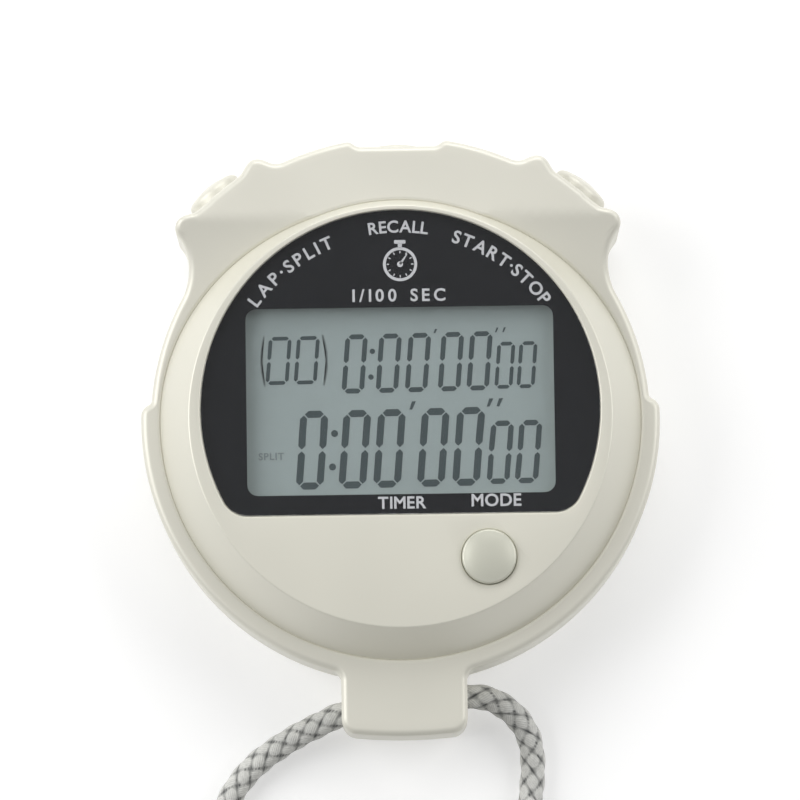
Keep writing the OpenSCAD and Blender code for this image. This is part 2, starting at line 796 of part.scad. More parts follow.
// Round door with a coin slot and two bayonet tabs
module battery_door() {
    color([0.84, 0.83, 0.79]) translate([0, -battery_down, 0]) difference() {
        union() {
            translate([0, 0, door_z]) cylinder(h = door_t, r = door_r);
            translate([0, 0, door_z + door_t - 0.1]) cylinder(h = tab_z + tab_t - door_z - door_t + 0.1, r = plug_r);
            for (side = [0, 180]) rotate(side) {
                tab_sector(plug_r + tab_reach, tab_z, tab_t, tab_angle);
            }
        }
        translate([-coin_slot_l / 2, -coin_slot_w / 2, door_z - over]) {
            cube([coin_slot_l, coin_slot_w, over + coin_slot_t]);
        }
        translate([0, 0, door_z + door_t + 0.4]) cylinder(h = case_h, r = plug_r - door_skin);
    }
}

module door_gasket() {
    color([0.12, 0.12, 0.12]) translate([0, -battery_down, door_z + door_t]) rotate_extrude() {
        translate([plug_r + 0.02, 0]) square([door_r - plug_r - 0.4, door_gasket_t - 0.03]);
    }
}

// ---- buttons ----

// Cap and stem turned in one piece, hollow behind its crown for the return spring
module push_cap(angle, face_s, cap_r, proud, travel) {
    crown = proud * crown_share;
    crown_s = face_s + proud - crown;
    skirt_s = guide_s + travel + skirt_gap;
    dome_r = (cap_r * cap_r + crown * crown) / (2 * crown);
    color([0.82, 0.81, 0.78]) difference() {
        union() {
            axis_rod(angle, skirt_s, crown_s, cap_r);
            on_axis(angle) translate([0, 0, crown_s]) intersection() {
                translate([0, 0, crown - dome_r]) sphere(r = dome_r);
                cylinder(h = crown + over, r = cap_r);
            }
        }
        difference() {
            axis_rod(angle, skirt_s - over, crown_s - cap_wall, cap_r - cap_skin);
            axis_rod(angle, skirt_s - 2 * over, crown_s, stem_r);
        }
    }
    color([0.82, 0.81, 0.78]) axis_rod(angle, tip_s, crown_s - cap_wall + 0.1, stem_r);
}

module push_spring(angle, face_s, cap_r, proud, turns) {
    crown_s = face_s + proud * (1 - crown_share);
    color([0.7, 0.7, 0.7]) on_axis(angle) translate([0, 0, guide_s + seat_gap]) {
        coil_spring(crown_s - cap_wall - guide_s - 2 * seat_gap, cap_r - cap_skin - spring_gap, turns);
    }
}

// Snap ring on the stem, resting against the inner face of its guide
module push_clip(angle) {
    color([0.35, 0.35, 0.35]) on_axis(angle) translate([0, 0, clip_face_s - clip_t - seat_gap]) difference() {
        cylinder(h = clip_t, r = clip_r, $fn = 48);
        translate([0, 0, -over]) cylinder(h = clip_t + 2 * over, r = stem_r, $fn = 48);
        translate([0, -clip_slot_w / 2, -over]) cube([clip_r + over, clip_slot_w, clip_t + 2 * over]);
    }
}

// Bent contact strip standing on the board in front of a stem
module push_leaf(angle) {
    color([0.82, 0.72, 0.45]) rotate(-angle) translate([-leaf_w / 2, leaf_s, board_top]) {
        cube([leaf_w, leaf_t, leaf_w]);
        translate([0, -leaf_foot, 0]) cube([leaf_w, leaf_foot + leaf_t, leaf_t]);
    }
}

module start_stop_cap() {
    push_cap(horn_angle, horn_s, side_cap_r, side_proud, side_travel);
}
module start_stop_spring() {
    push_spring(horn_angle, horn_s, side_cap_r, side_proud, side_turns);
}
module start_stop_clip() {
    push_clip(horn_angle);
}
module start_stop_leaf() {
    push_leaf(horn_angle);
}
module lap_split_cap() {
    push_cap(-horn_angle, horn_s, side_cap_r, side_proud, side_travel);
}
module lap_split_spring() {
    push_spring(-horn_angle, horn_s, side_cap_r, side_proud, side_turns);
}
module lap_split_clip() {
    push_clip(-horn_angle);
}
module lap_split_leaf() {
    push_leaf(-horn_angle);
}
module recall_cap() {
    push_cap(0, notch_s, top_cap_r, top_proud, top_travel);
}
module recall_spring() {
    push_spring(0, notch_s, top_cap_r, top_proud, top_turns);
}
module recall_clip() {
    push_clip(0);
}
module recall_leaf() {
    push_leaf(0);
}

// Mode button: a low dome with a flange under the face and a plunger over the contact dome
module mode_cap() {
    dome_r = (mode_r * mode_r + mode_crown * mode_crown) / (2 * mode_crown);
    top = case_h + mode_proud - mode_crown;
    color([0.74, 0.75, 0.7]) translate([mode_x, -mode_y, 0]) {
        translate([0, 0, mode_flange_z]) cylinder(h = mode_flange_t, r = mode_r + mode_flange_out);
        translate([0, 0, mode_flange_z]) cylinder(h = top - mode_flange_z, r = mode_r);
        translate([0, 0, top]) intersection() {
            translate([0, 0, mode_crown - dome_r]) sphere(r = dome_r);
            cylinder(h = mode_crown + over, r = mode_r);
        }
        translate([0, 0, mode_tip_z]) cylinder(h = mode_flange_z - mode_tip_z + 0.1, r = stem_r);
    }
}

module mode_spring() {
    color([0.7, 0.7, 0.7]) translate([mode_x, -mode_y, board_top + seat_gap]) {
        coil_spring(mode_flange_z - board_top - 2 * seat_gap, mode_r - 0.4, side_turns);
    }
}

// Shallow snap dome on the board
module mode_dome() {
    dome_r = (mode_dome_r * mode_dome_r + mode_dome_t * mode_dome_t) / (2 * mode_dome_t);
    color([0.8, 0.8, 0.78]) translate([mode_x, -mode_y, board_top]) intersection() {
        translate([0, 0, mode_dome_t - dome_r]) sphere(r = dome_r);
        cylinder(h = mode_dome_t + over, r = mode_dome_r);
    }
}

// ---- cord ----

module cord_right() {
    color([0.66, 0.67, 0.66]) cord_tube(cord_right_points);
}

module cord_left() {
    color([0.66, 0.67, 0.66]) cord_tube(cord_left_points);
}

// Outer shape of the wound turns, with round edges
module cord_coil() {
    half = cord_d / 2;
    top = cord_d * coil_layers;
    color([0.66, 0.67, 0.66]) translate([coil_x, coil_y, 0]) rotate_extrude() {
        translate([coil_inner, 0]) square([coil_outer - coil_inner, top]);
        translate([coil_inner - half, half]) square([coil_outer - coil_inner + cord_d, top - cord_d]);
        for (x = [coil_inner, coil_outer], z = [half, top - half]) translate([x, z]) circle(r = half, $fn = 32);
    }
}

front_case();
rear_case();
face_bezel();
case_gasket();
case_screws();
lens();
window_mask();
lcd_glass();
lcd_reflector();
lcd_holder();
zebra_strips();
circuit_board();
board_screws();
chip_blob();
crystal_can();
board_capacitors();
trimmer();
buzzer_disc();
buzzer_spring();
battery();
battery_plus_clip();
battery_minus_contact();
battery_door();
door_gasket();
start_stop_cap();
start_stop_spring();
start_stop_clip();
start_stop_leaf();
lap_split_cap();
lap_split_spring();
lap_split_clip();
lap_split_leaf();
recall_cap();
recall_spring();
recall_clip();
recall_leaf();
mode_cap();
mode_spring();
mode_dome();
cord_right();
cord_left();
cord_coil();
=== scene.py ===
"""A handheld digital stopwatch lying on its back, with its neck cord wound into a coil.

Shapes are worked out in millimetres and scaled to metres when a piece is finished.
"""

import math

import bmesh
import bpy
import numpy as np
from mathutils import Matrix, Vector


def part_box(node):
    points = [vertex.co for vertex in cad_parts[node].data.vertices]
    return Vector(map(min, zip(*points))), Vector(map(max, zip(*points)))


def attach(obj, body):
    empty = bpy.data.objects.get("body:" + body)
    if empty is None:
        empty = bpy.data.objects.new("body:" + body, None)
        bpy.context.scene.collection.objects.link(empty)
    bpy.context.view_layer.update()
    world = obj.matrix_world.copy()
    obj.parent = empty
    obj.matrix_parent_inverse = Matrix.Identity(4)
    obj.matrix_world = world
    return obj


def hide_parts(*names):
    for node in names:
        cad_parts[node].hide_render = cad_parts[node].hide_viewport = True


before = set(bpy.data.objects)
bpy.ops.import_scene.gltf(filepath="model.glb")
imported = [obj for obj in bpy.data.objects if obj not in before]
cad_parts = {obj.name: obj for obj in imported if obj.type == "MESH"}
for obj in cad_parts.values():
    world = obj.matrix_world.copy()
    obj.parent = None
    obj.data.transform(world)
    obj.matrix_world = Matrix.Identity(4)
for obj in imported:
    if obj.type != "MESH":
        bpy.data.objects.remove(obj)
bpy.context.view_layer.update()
MM = 0.001


def box_mm(node):
    """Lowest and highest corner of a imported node, in millimetres."""
    low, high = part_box(node)
    return low / MM, high / MM


# ---- sizes, read from the frame where a node gives them ----

FRONT_LOW, FRONT_HIGH = box_mm("front_case")
REAR_HIGH = box_mm("rear_case")[1]
BEZEL_LOW, BEZEL_HIGH = box_mm("face_bezel")
LENS_LOW, LENS_HIGH = box_mm("lens")
MASK_LOW, MASK_HIGH = box_mm("window_mask")
GLASS_LOW, GLASS_HIGH = box_mm("lcd_glass")
DOOR_LOW, DOOR_HIGH = box_mm("battery_door")
MODE_LOW, MODE_HIGH = box_mm("mode_cap")
SCREWS_LOW, SCREWS_HIGH = box_mm("case_screws")

SEAM_Z = REAR_HIGH.z
DECK_Z = FRONT_HIGH.z
LUG_END = -FRONT_LOW.y
LUG_Z = FRONT_LOW.z
BEZEL_R = BEZEL_HIGH.x
FACE_Z = BEZEL_HIGH.z

WALL = 1.8
SEAM_GAP = 0.03
RIM_R = 32.0
WAIST_R = 30.8
GUARD_R = 34.7
CAVITY_R = RIM_R - 2 * WALL
SEAT_R = CAVITY_R - 0.8
FACE_R = 26.0
SEAT_Z = FACE_Z - 5.6
LEDGE_Z = SEAT_Z + 0.6
FLANGE_Z = SEAT_Z - 1.2
BEZEL_GAP = 0.12
RIM_TOP_Y = 0.9
RIM_NOSE_R = 1.5
RIM_FILLET = 0.4
DECK_RUN = 24.0
DECK_CURVE_R = (DECK_RUN**2 + (DECK_Z - LEDGE_Z) ** 2) / (2 * (DECK_Z - LEDGE_Z))
EDGE_R = 0.8

HORN_ANGLE = math.radians(38.4)
HORN_S = RIM_R + 3.6
LIP_V = 5.6
LIP_R = 1.5
LIP_S = HORN_S - 0.9
HORN_HALF = LIP_V + LIP_R
LIP_FILLET, HORN_FILLET, GUARD_FILLET = 1.0, 4.5, 1.6
NOTCH_HALF = 5.4
NOTCH_S = RIM_R + 1.5
NOTCH_CORNER = 0.9
BUTTON_Z = 9.8
SIDE_CAP_R = 3.6
TOP_CAP_R = 3.0
SIDE_PROUD = 2.2
TOP_PROUD = 1.1
RUNNING_GAP = 0.05

LUG_HALF = 7.75
LUG_CORNER = 1.7
LUG_BOW_R = 58.0
LUG_FILLET = 1.0
SLOT_W = 5.4
SLOT_H = 3.9
SLOT_Y = -(RIM_R + 0.15 + SLOT_W / 2)
SLOT_Z = LUG_Z + 2.05 + SLOT_H / 2

CORD_D = 3.2
BACK_ROUND = 2.6

# window and print
LENS_R = LENS_HIGH.x
LENS_UP = LENS_HIGH.y - LENS_R
LENS_DROP = -LENS_LOW.y
LENS_CORNER = 3.4
LENS_GAP = 0.1
WINDOW_W, WINDOW_H, WINDOW_UP = 37.7, 23.0, 1.95
WINDOW_CORNER = 1.3
FACE_UNDER_Z = MASK_LOW.z - 1.4
FACE_BORE_R = FACE_R + 0.4
LCD_TURN = 0.6
PRINT_Z = MASK_HIGH.z - 0.02
PRINT_T = 0.03
SIGN_PLACE = (0.2, 18.75)
POST_R = 1.6
POST_BORE_R, POST_BORE_T = 0.75, 4.5
POST_S = FACE_BORE_R - POST_R - 0.9
POST_PLACES = [(POST_S, -1), (-POST_S, -1), (-4, -20.5)]

# buttons
MODE_R = 3.35
MODE_PLACE = ((MODE_LOW.x + MODE_HIGH.x) / 2, (MODE_LOW.y + MODE_HIGH.y) / 2)
STEM_R = 1.2
CROWN_SHARE = 0.4
CAP_WALL = 0.8
CAP_SKIN = 0.9
RING_SPOT_R = 2.1
RING_FACE_S = CAVITY_R + 0.8
GUIDE_S = RING_FACE_S + 1.4
TIP_S = CAVITY_R - 1.6
SIDE_TRAVEL = 1.2
TOP_TRAVEL = 0.8

# back
HATCH_PLACE = ((DOOR_LOW.x + DOOR_HIGH.x) / 2, (DOOR_LOW.y + DOOR_HIGH.y) / 2)
HATCH_R = (DOOR_HIGH.x - DOOR_LOW.x) / 2
HATCH_GAP = 0.2
HATCH_T = 1.1
HATCH_SEAT_Z = DOOR_LOW.z + HATCH_T + 0.4
HATCH_TURN = 40
HATCH_MARK_R = 0.45
POCKET_R = HATCH_R - 1.7
POCKET_WALL = 1.5
TAB_T = 0.7
TAB_Z = DOOR_HIGH.z - TAB_T
TAB_REACH = 0.9
TAB_ANGLE = 30
TAB_GAP = 0.1
POCKET_GROOVE_R = POCKET_R - RUNNING_GAP + TAB_REACH + 0.2
COIN_SLOT_L, COIN_SLOT_W, COIN_SLOT_T = 14.0, 1.8, 0.8
SCREW_R, SCREW_HEAD_R, SCREW_HEAD_T = 0.9, 1.9, 1.1
SCREW_HEAD_TOP = SCREWS_LOW.z + SCREW_HEAD_T
BOSS_R = 2.4
BOSS_S = CAVITY_R - BOSS_R - 0.4
SCREW_PLACES = [
    (BOSS_S * math.sin(math.radians(a)), BOSS_S * math.cos(math.radians(a))) for a in (20, 132, 228, 340)
]
SOUND_HOLE_R, SOUND_HOLE_PITCH = 0.6, 3.0
BUZZER_UP = 13.0


# ---- mesh helpers ----


def loft(rings, closed_across, cap_ends=False):
    """Joins rings of points, each an (n, 3) array that closes on itself, into faces."""
    count = len(rings[0])
    points = np.concatenate(rings)
    faces = []
    spans = len(rings) if closed_across else len(rings) - 1
    for k in range(spans):
        a = k * count
        b = ((k + 1) % len(rings)) * count
        for i in range(count):
            j = (i + 1) % count
            faces.append((a + i, a + j, b + j, b + i))
    if cap_ends:
        first = len(points)
        points = np.vstack([points, rings[0].mean(0), rings[-1].mean(0)])
        last = (len(rings) - 1) * count
        for i in range(count):
            j = (i + 1) % count
            faces.append((first, j, i))
            faces.append((first + 1, last + i, last + j))
    return points, faces


def piece(name, points, faces, merge=1e-4, values=None):
    """A new mesh object in millimetres, with doubles merged and faces pointing outwards.

    values maps an attribute's name to one number for each point.
    """
    mesh = bpy.data.meshes.new(name)
    mesh.from_pydata([tuple(p) for p in points], [], faces)
    for label, numbers in (values or {}).items():
        mesh.attributes.new(label, "FLOAT", "POINT").data.foreach_set("value", numbers)
    shell = bmesh.new()
    shell.from_mesh(mesh)
    bmesh.ops.remove_doubles(shell, verts=shell.verts, dist=merge)
    bmesh.ops.recalc_face_normals(shell, faces=shell.faces)
    shell.to_mesh(mesh)
    shell.free()
    made = bpy.data.objects.new(name, mesh)
    bpy.context.scene.collection.objects.link(made)
    return made


def lathe(name, profile, segments=128, place=None, closed=False):
    """Turns a profile of (radius, height) points round Z, then moves it by place.

    The profile starts and ends on the axis, unless it is closed.
    """
    turn = np.linspace(0, 2 * math.pi, segments, endpoint=False)
    rings = [
        np.stack([r * np.cos(turn), r * np.sin(turn), np.full(segments, z)], 1)
        for r, z in profile
    ]
    made = piece(name, *loft(rings, closed))
    if place is not None:
        made.data.transform(place)
    return made


def arc(centre, radius, start, end, steps):
    """Points (r, z) along an arc, with angles in degrees."""
    angles = np.radians(np.linspace(start, end, steps))
    return [(centre[0] + radius * math.cos(a), centre[1] + radius * math.sin(a)) for a in angles]


def prism(name, outline, levels):
    """A solid on an anticlockwise outline; levels are (height, growth of the outline) pairs."""
    outline = np.asarray(outline, float)
    step = np.roll(outline, -1, 0) - np.roll(outline, 1, 0)
    outward = np.column_stack([step[:, 1], -step[:, 0]]) / np.linalg.norm(step, axis=1)[:, None]
    rings = [
        np.column_stack([outline + outward * grow, np.full(len(outline), height)])
        for height, grow in levels
    ]
    return piece(name, *loft(rings, False, cap_ends=True))


def mouth(face, over, soft, steps=5):
    """Levels of a cutter from below a face out through it, widening to a soft edge."""
    levels = [(face - soft + soft * math.sin(a), soft * (1 - math.cos(a))) for a in turns(steps)]
    return levels + [(face + over, soft)]


def turns(steps):
    """Angles from 0 to a quarter turn."""
    return np.linspace(0, math.pi / 2, steps)


def rounded_box(width, height, corner, centre=(0.0, 0.0), steps=8):
    """Anticlockwise outline of a rectangle with round corners."""
    points = []
    for k, (side_x, side_y) in enumerate(((1, 1), (-1, 1), (-1, -1), (1, -1))):
        x = centre[0] + side_x * (width / 2 - corner)
        y = centre[1] + side_y * (height / 2 - corner)
        points += arc((x, y), corner, 90 * k, 90 * k + 90, steps)
    return points


def merged(name, parts):
    """Joins mesh objects into one without changing their shapes."""
    shell = bmesh.new()
    for part in parts:
        shell.from_mesh(part.data)
        bpy.data.objects.remove(part)
    mesh = bpy.data.meshes.new(name)
    bmesh.ops.dissolve_degenerate(shell, dist=1e-7, edges=shell.edges)
    shell.to_mesh(mesh)
    shell.free()
    made = bpy.data.objects.new(name, mesh)
    bpy.context.scene.collection.objects.link(made)
    return made


def combine(target, tool, operation):
    """Applies a boolean of tool on target and removes the tool."""
    modifier = target.modifiers.new("combine", "BOOLEAN")
    modifier.object = tool
    modifier.operation = operation
    modifier.solver = "MANIFOLD"
    bake_modifiers(target)
    bpy.data.objects.remove(tool)


def cut(target, tool):
    combine(target, tool, "DIFFERENCE")


def add(target, tool):
    combine(target, tool, "UNION")


def bake_modifiers(target):
    """Turns an object and its modifiers into a plain mesh."""
    graph = bpy.context.evaluated_depsgraph_get()
    mesh = bpy.data.meshes.new_from_object(target.evaluated_get(graph))
    target.modifiers.clear()
    old = target.data
    target.data = mesh
    bpy.data.meshes.remove(old)


def finish_piece(made, material, body, replaces=(), sharp=32):
    """Scales a piece to metres, smooths it up to the sharp angle and puts it on its body."""
    mesh = made.data
    mesh.transform(Matrix.Scale(MM, 4))
    mesh.shade_smooth()
    mesh.set_sharp_from_angle(angle=math.radians(sharp))
    mesh.materials.clear()
    mesh.materials.append(material)
    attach(made, body)
    if replaces:
        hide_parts(*replaces)
    return made


# ---- node helpers ----


class Nodes:
    """Short names for making and linking nodes in one tree."""

    def __init__(self, tree):
        self.tree = tree

    def new(self, kind, values=None, **settings):
        node = self.tree.nodes.new(kind)
        for key, value in settings.items():
            setattr(node, key, value)
        for key, value in (values or {}).items():
            self.feed(node.inputs[key], value)
        return node

    def feed(self, socket, value):
        if isinstance(value, bpy.types.NodeSocket):
            self.tree.links.new(value, socket)
        elif isinstance(value, bpy.types.Node):
            self.tree.links.new(value.outputs[0], socket)
        else:
            socket.default_value = value

    def math(self, operation, a, b=0.0, c=0.0):
        return self.new("ShaderNodeMath", {0: a, 1: b, 2: c}, operation=operation).outputs[0]

    def mix(self, factor, a, b):
        node = self.new("ShaderNodeMix", {0: factor, 6: a, 7: b}, data_type="RGBA")
        return node.outputs[2]

    def ramp(self, value, low, high, low_out=0.0, high_out=1.0):
        node = self.new("ShaderNodeMapRange", {0: value, 1: low, 2: high, 3: low_out, 4: high_out})
        return node.outputs[0]

    def noise(self, vector, scale, detail=3.0, roughness=0.5):
        node = self.new(
            "ShaderNodeTexNoise",
            {"Vector": vector, "Scale": scale, "Detail": detail, "Roughness": roughness},
        )
        return node.outputs["Fac"]


def group(name, inputs, outputs, build):
    """A shader node group: inputs and outputs are (name, socket type, default) rows."""
    tree = bpy.data.node_groups.new(name, "ShaderNodeTree")
    for label, kind, default in inputs:
        socket = tree.interface.new_socket(label, in_out="INPUT", socket_type=kind)
        socket.default_value = default
    for label, kind in outputs:
        tree.interface.new_socket(label, in_out="OUTPUT", socket_type=kind)
    nodes = Nodes(tree)
    start = nodes.new("NodeGroupInput")
    end = nodes.new("NodeGroupOutput")
    for label, value in build(nodes, start.outputs).items():
        nodes.feed(end.inputs[label], value)
    return tree


FLOAT, COLOR = "NodeSocketFloat", "NodeSocketColor"


def build_grain(nodes, given):
    """Fine even grain with slow cloudy drift, read from the object's own place."""
    place = nodes.new("ShaderNodeTexCoord").outputs["Object"]
    fine = nodes.noise(place, given["Fine Scale"], 4.0, 0.6)
    slow = nodes.noise(place, given["Slow Scale"], 2.0, 0.5)
    centred = nodes.math("SUBTRACT", slow, 0.5)
    spread = nodes.math("MULTIPLY", centred, given["Drift"])
    tone = nodes.math("ADD", 1.0, spread)
    speck = nodes.math("MULTIPLY", nodes.math("SUBTRACT", fine, 0.5), given["Speckle"])
    shade = nodes.math("ADD", tone, speck)
    colour = nodes.new(
        "ShaderNodeVectorMath", {0: given["Color"], "Scale": shade}, operation="SCALE"
    ).outputs[0]
    rough = nodes.math("MULTIPLY_ADD", centred, given["Roughness Drift"], given["Roughness"])
    return {"Color": colour, "Roughness": rough, "Height": fine}


GRAIN = group(
    "surface_grain",
    [
        ("Color", COLOR, (0.8, 0.8, 0.8, 1)),
        ("Roughness", FLOAT, 0.4),
        ("Fine Scale", FLOAT, 9000.0),
        ("Slow Scale", FLOAT, 60.0),
        ("Drift", FLOAT, 0.06),
        ("Speckle", FLOAT, 0.05),
        ("Roughness Drift", FLOAT, 0.1),
    ],
    [("Color", COLOR), ("Roughness", FLOAT), ("Height", FLOAT)],
    build_grain,
)


def grained(name, color, roughness=0.4, metallic=0.0, bump=0.02, bump_mm=0.02, **grain):
    """A material on the shared grain; grain sets the group's other inputs."""
    material = bpy.data.materials.new(name)
    material.use_nodes = True
    tree = material.node_tree
    nodes = Nodes(tree)
    shader = tree.nodes["Principled BSDF"]
    surface = nodes.new("ShaderNodeGroup", node_tree=GRAIN)
    surface.inputs["Color"].default_value = (*color, 1)
    surface.inputs["Roughness"].default_value = roughness
    for key, value in grain.items():
        surface.inputs[key.replace("_", " ").title()].default_value = value
    nodes.feed(shader.inputs["Base Color"], surface.outputs["Color"])
    nodes.feed(shader.inputs["Roughness"], surface.outputs["Roughness"])
    shader.inputs["Metallic"].default_value = metallic
    relief = nodes.new(
        "ShaderNodeBump",
        {"Strength": bump, "Distance": bump_mm * MM, "Height": surface.outputs["Height"]},
    )
    nodes.feed(shader.inputs["Normal"], relief.outputs[0])
    return material


# ---- materials ----

SILVER = grained("satin_silver_case", (0.74, 0.725, 0.64), 0.42, 0.25, 0.15, 0.03)
SILVER_FACE = grained("satin_silver_face", (0.73, 0.715, 0.625), 0.38, 0.25, 0.12, 0.03)
SILVER_BUTTON = grained("satin_silver_button", (0.62, 0.62, 0.53), 0.34, 0.3, 0.12, 0.03)
BLACK_PRINT = grained("black_window_print", (0.005, 0.006, 0.008), 0.45, 0.0, 0.02)
BLACK_PRINT.node_tree.nodes["Principled BSDF"].inputs["Specular IOR Level"].default_value = 0.1
WHITE_PRINT = grained("white_legend_print", (0.50, 0.51, 0.53), 0.5, 0.0, 0.02)
LCD_GREY = grained("lcd_grey", (0.255, 0.305, 0.305), 0.32, 0.0, 0.02, drift=0.08)
LCD_INK = grained("lcd_segments", (0.035, 0.052, 0.056), 0.4, 0.0, 0.02)
LCD_FAINT = grained("lcd_faint_segments", (0.15, 0.18, 0.18), 0.4, 0.0, 0.02)
REFLECTOR = grained("reflector_film", (0.72, 0.74, 0.72), 0.3, 0.6, 0.1, 0.02)
RUBBER = grained("black_rubber", (0.02, 0.02, 0.02), 0.7, 0.0, 0.3, 0.03)
WHITE_PLASTIC = grained("white_plastic", (0.72, 0.72, 0.69), 0.45, 0.0, 0.15, 0.03)
RESIN = grained("black_resin", (0.012, 0.012, 0.013), 0.25, 0.0, 0.1, 0.05, slow_scale=300.0)
CERAMIC = grained("tan_ceramic", (0.45, 0.32, 0.18), 0.5, 0.0, 0.2, 0.02)
BLUE_PLASTIC = grained("blue_trimmer_plastic", (0.04, 0.12, 0.42), 0.4, 0.0, 0.1, 0.02)
STEEL = grained("screw_steel", (0.55, 0.55, 0.54), 0.3, 1.0, 0.2, 0.02, fine_scale=4000.0)
SPRING = grained("spring_steel", (0.50, 0.50, 0.50), 0.28, 1.0, 0.1, 0.01)
CELL = grained("cell_steel", (0.68, 0.68, 0.66), 0.24, 1.0, 0.1, 0.01, fine_scale=5000.0)
BRASS = grained("contact_brass", (0.70, 0.53, 0.24), 0.3, 1.0, 0.15, 0.01)


def green_board():
    """Solder mask over copper runs, which show as slightly raised, lighter lines."""
    material = grained("green_board", (0.02, 0.13, 0.05), 0.35, 0.0, 0.1, 0.02)
    tree = material.node_tree
    nodes = Nodes(tree)
    shader = tree.nodes["Principled BSDF"]
    surface = next(n for n in tree.nodes if n.type == "GROUP")
    place = nodes.new("ShaderNodeTexCoord").outputs["Object"]
    runs = nodes.new(
        "ShaderNodeTexBrick",
        {"Vector": place, "Scale": 260.0, "Mortar Size": 0.09, "Mortar Smooth": 0.2, "Brick Width": 1.3},
    )
    line = runs.outputs["Fac"]
    copper = nodes.mix(line, surface.outputs["Color"], (0.05, 0.24, 0.09, 1))
    nodes.feed(shader.inputs["Base Color"], copper)
    height = nodes.math("ADD", line, surface.outputs["Height"])
    relief = nodes.new("ShaderNodeBump", {"Strength": 0.3, "Distance": 0.03 * MM, "Height": height})
    nodes.feed(shader.inputs["Normal"], relief.outputs[0])
    return material


def clear_lens():
    """Clear acrylic: plain glass that lets the lights through to what it covers."""
    material = bpy.data.materials.new("clear_lens")
    material.use_nodes = True
    tree = material.node_tree
    nodes = Nodes(tree)
    shader = tree.nodes["Principled BSDF"]
    shader.inputs["Transmission Weight"].default_value = 1.0
    shader.inputs["IOR"].default_value = 1.49
    place = nodes.new("ShaderNodeTexCoord").outputs["Object"]
    haze = nodes.ramp(nodes.noise(place, 220.0), 0.3, 0.7, 0.015, 0.05)
    nodes.feed(shader.inputs["Roughness"], haze)
    clear = nodes.new("ShaderNodeBsdfTransparent")
    path = nodes.new("ShaderNodeLightPath")
    mixed = nodes.new("ShaderNodeMixShader", {0: path.outputs["Is Shadow Ray"], 1: shader, 2: clear})
    nodes.feed(tree.nodes["Material Output"].inputs["Surface"], mixed.outputs[0])
    return material


def braided_cord():
    """Round braid: light yarn on the crowns, painted shade in the gaps, with fine fibres along each strand.
    """
    material = bpy.data.materials.new("braided_cord")
    material.use_nodes = True
    tree = material.node_tree
    nodes = Nodes(tree)
    shader = tree.nodes["Principled BSDF"]
    shader.inputs["Sheen Weight"].default_value = 0.25
    shader.inputs["Roughness"].default_value = 0.85
    relief = nodes.new("ShaderNodeAttribute", attribute_name="relief").outputs["Fac"]
    across = nodes.new("ShaderNodeAttribute", attribute_name="across").outputs["Fac"]
    place = nodes.new("ShaderNodeTexCoord").outputs["Object"]
    fuzz = nodes.noise(place, 2600.0, 4.0, 0.65)
    patches = nodes.noise(place, 420.0, 2.0, 0.5)
    strand = nodes.math("MULTIPLY", across, 44.0)
    wander = nodes.math("MULTIPLY_ADD", nodes.noise(place, 900.0, 2.0), 2.0, strand)
    fibres = nodes.math("MULTIPLY_ADD", nodes.math("SINE", wander), 0.5, 0.5)
    # painted shade: the gaps between strands are mixed to a near-black colour, standing in for the shade in
    # the braid's crevices
    gap = nodes.ramp(relief, 0.12, 0.6)
    shade = nodes.math("MULTIPLY_ADD", fibres, 0.16, nodes.math("MULTIPLY_ADD", fuzz, 0.5, 0.6))
    yarn = nodes.mix(patches, (0.56, 0.565, 0.54, 1), (0.84, 0.835, 0.795, 1))
    lit = nodes.new("ShaderNodeVectorMath", {0: yarn, "Scale": shade}, operation="SCALE").outputs[0]
    nodes.feed(shader.inputs["Base Color"], nodes.mix(gap, (0.08, 0.085, 0.082, 1), lit))
    height = nodes.math("MULTIPLY_ADD", fuzz, 0.6, nodes.math("MULTIPLY", fibres, 0.5))
    bump = nodes.new("ShaderNodeBump", {"Strength": 0.6, "Distance": 0.12 * MM, "Height": height})
    nodes.feed(shader.inputs["Normal"], bump.outputs[0])
    return material


BOARD = green_board()
LENS = clear_lens()
CORD = braided_cord()

NODE_FINISHES = {
    BOARD: ["circuit_board"],
    LCD_GREY: ["lcd_glass"],
    REFLECTOR: ["lcd_reflector"],
    WHITE_PLASTIC: ["lcd_holder"],
    RUBBER: ["case_gasket", "door_gasket", "zebra_strips"],
    RESIN: ["chip_blob"],
    CERAMIC: ["board_capacitors"],
    BLUE_PLASTIC: ["trimmer"],
    STEEL: ["board_screws", "crystal_can", "mode_dome"],
    CELL: ["battery"],
    BRASS: [
        "buzzer_disc", "buzzer_spring", "battery_plus_clip", "battery_minus_contact",
        "start_stop_leaf", "lap_split_leaf", "recall_leaf",
    ],
    SPRING: [
        "start_stop_spring", "start_stop_clip", "lap_split_spring", "lap_split_clip",
        "recall_spring", "recall_clip", "mode_spring",
    ],
}


def dress_nodes():
    """Gives each CAD node that stays in view its own finish."""
    for material, names in NODE_FINISHES.items():
        for name in names:
            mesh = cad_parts[name].data
            mesh.materials.clear()
            mesh.materials.append(material)


# ---- cord ----

RIGHT_POINTS = [
    (0, -34.8, 5.6), (4, -34.3, 5.6), (8, -33.85, 5.5), (10.4, -34.1, 4.9), (12.4, -35.1, 4.2),
    (14.1, -36.6, 3.3), (15.3, -38.6, 2.4), (15.8, -41, 1.8), (15.8, -43.6, 1.6),
    (15.5, -46.6, 1.6), (15.6, -50.5, 1.6), (16.4, -55, 1.6), (17.4, -60, 1.6),
    (18.1, -66, 1.6), (18.4, -73, 1.6),
]
LEFT_POINTS = [
    (0, -34.8, 5.6), (-4, -35.3, 5.6), (-7.6, -35.75, 5.5), (-10.4, -36.9, 4.3),
    (-13.2, -38.2, 3.2), (-15.8, -39.7, 2.3), (-18.2, -41.4, 1.8), (-20.2, -43.4, 1.6),
    (-21.8, -45.8, 1.6), (-23.1, -49.2, 1.7), (-24.3, -54, 2.4), (-25.4, -60, 3.8),
    (-26.2, -66, 4.6), (-26.4, -73, 4.8),
]
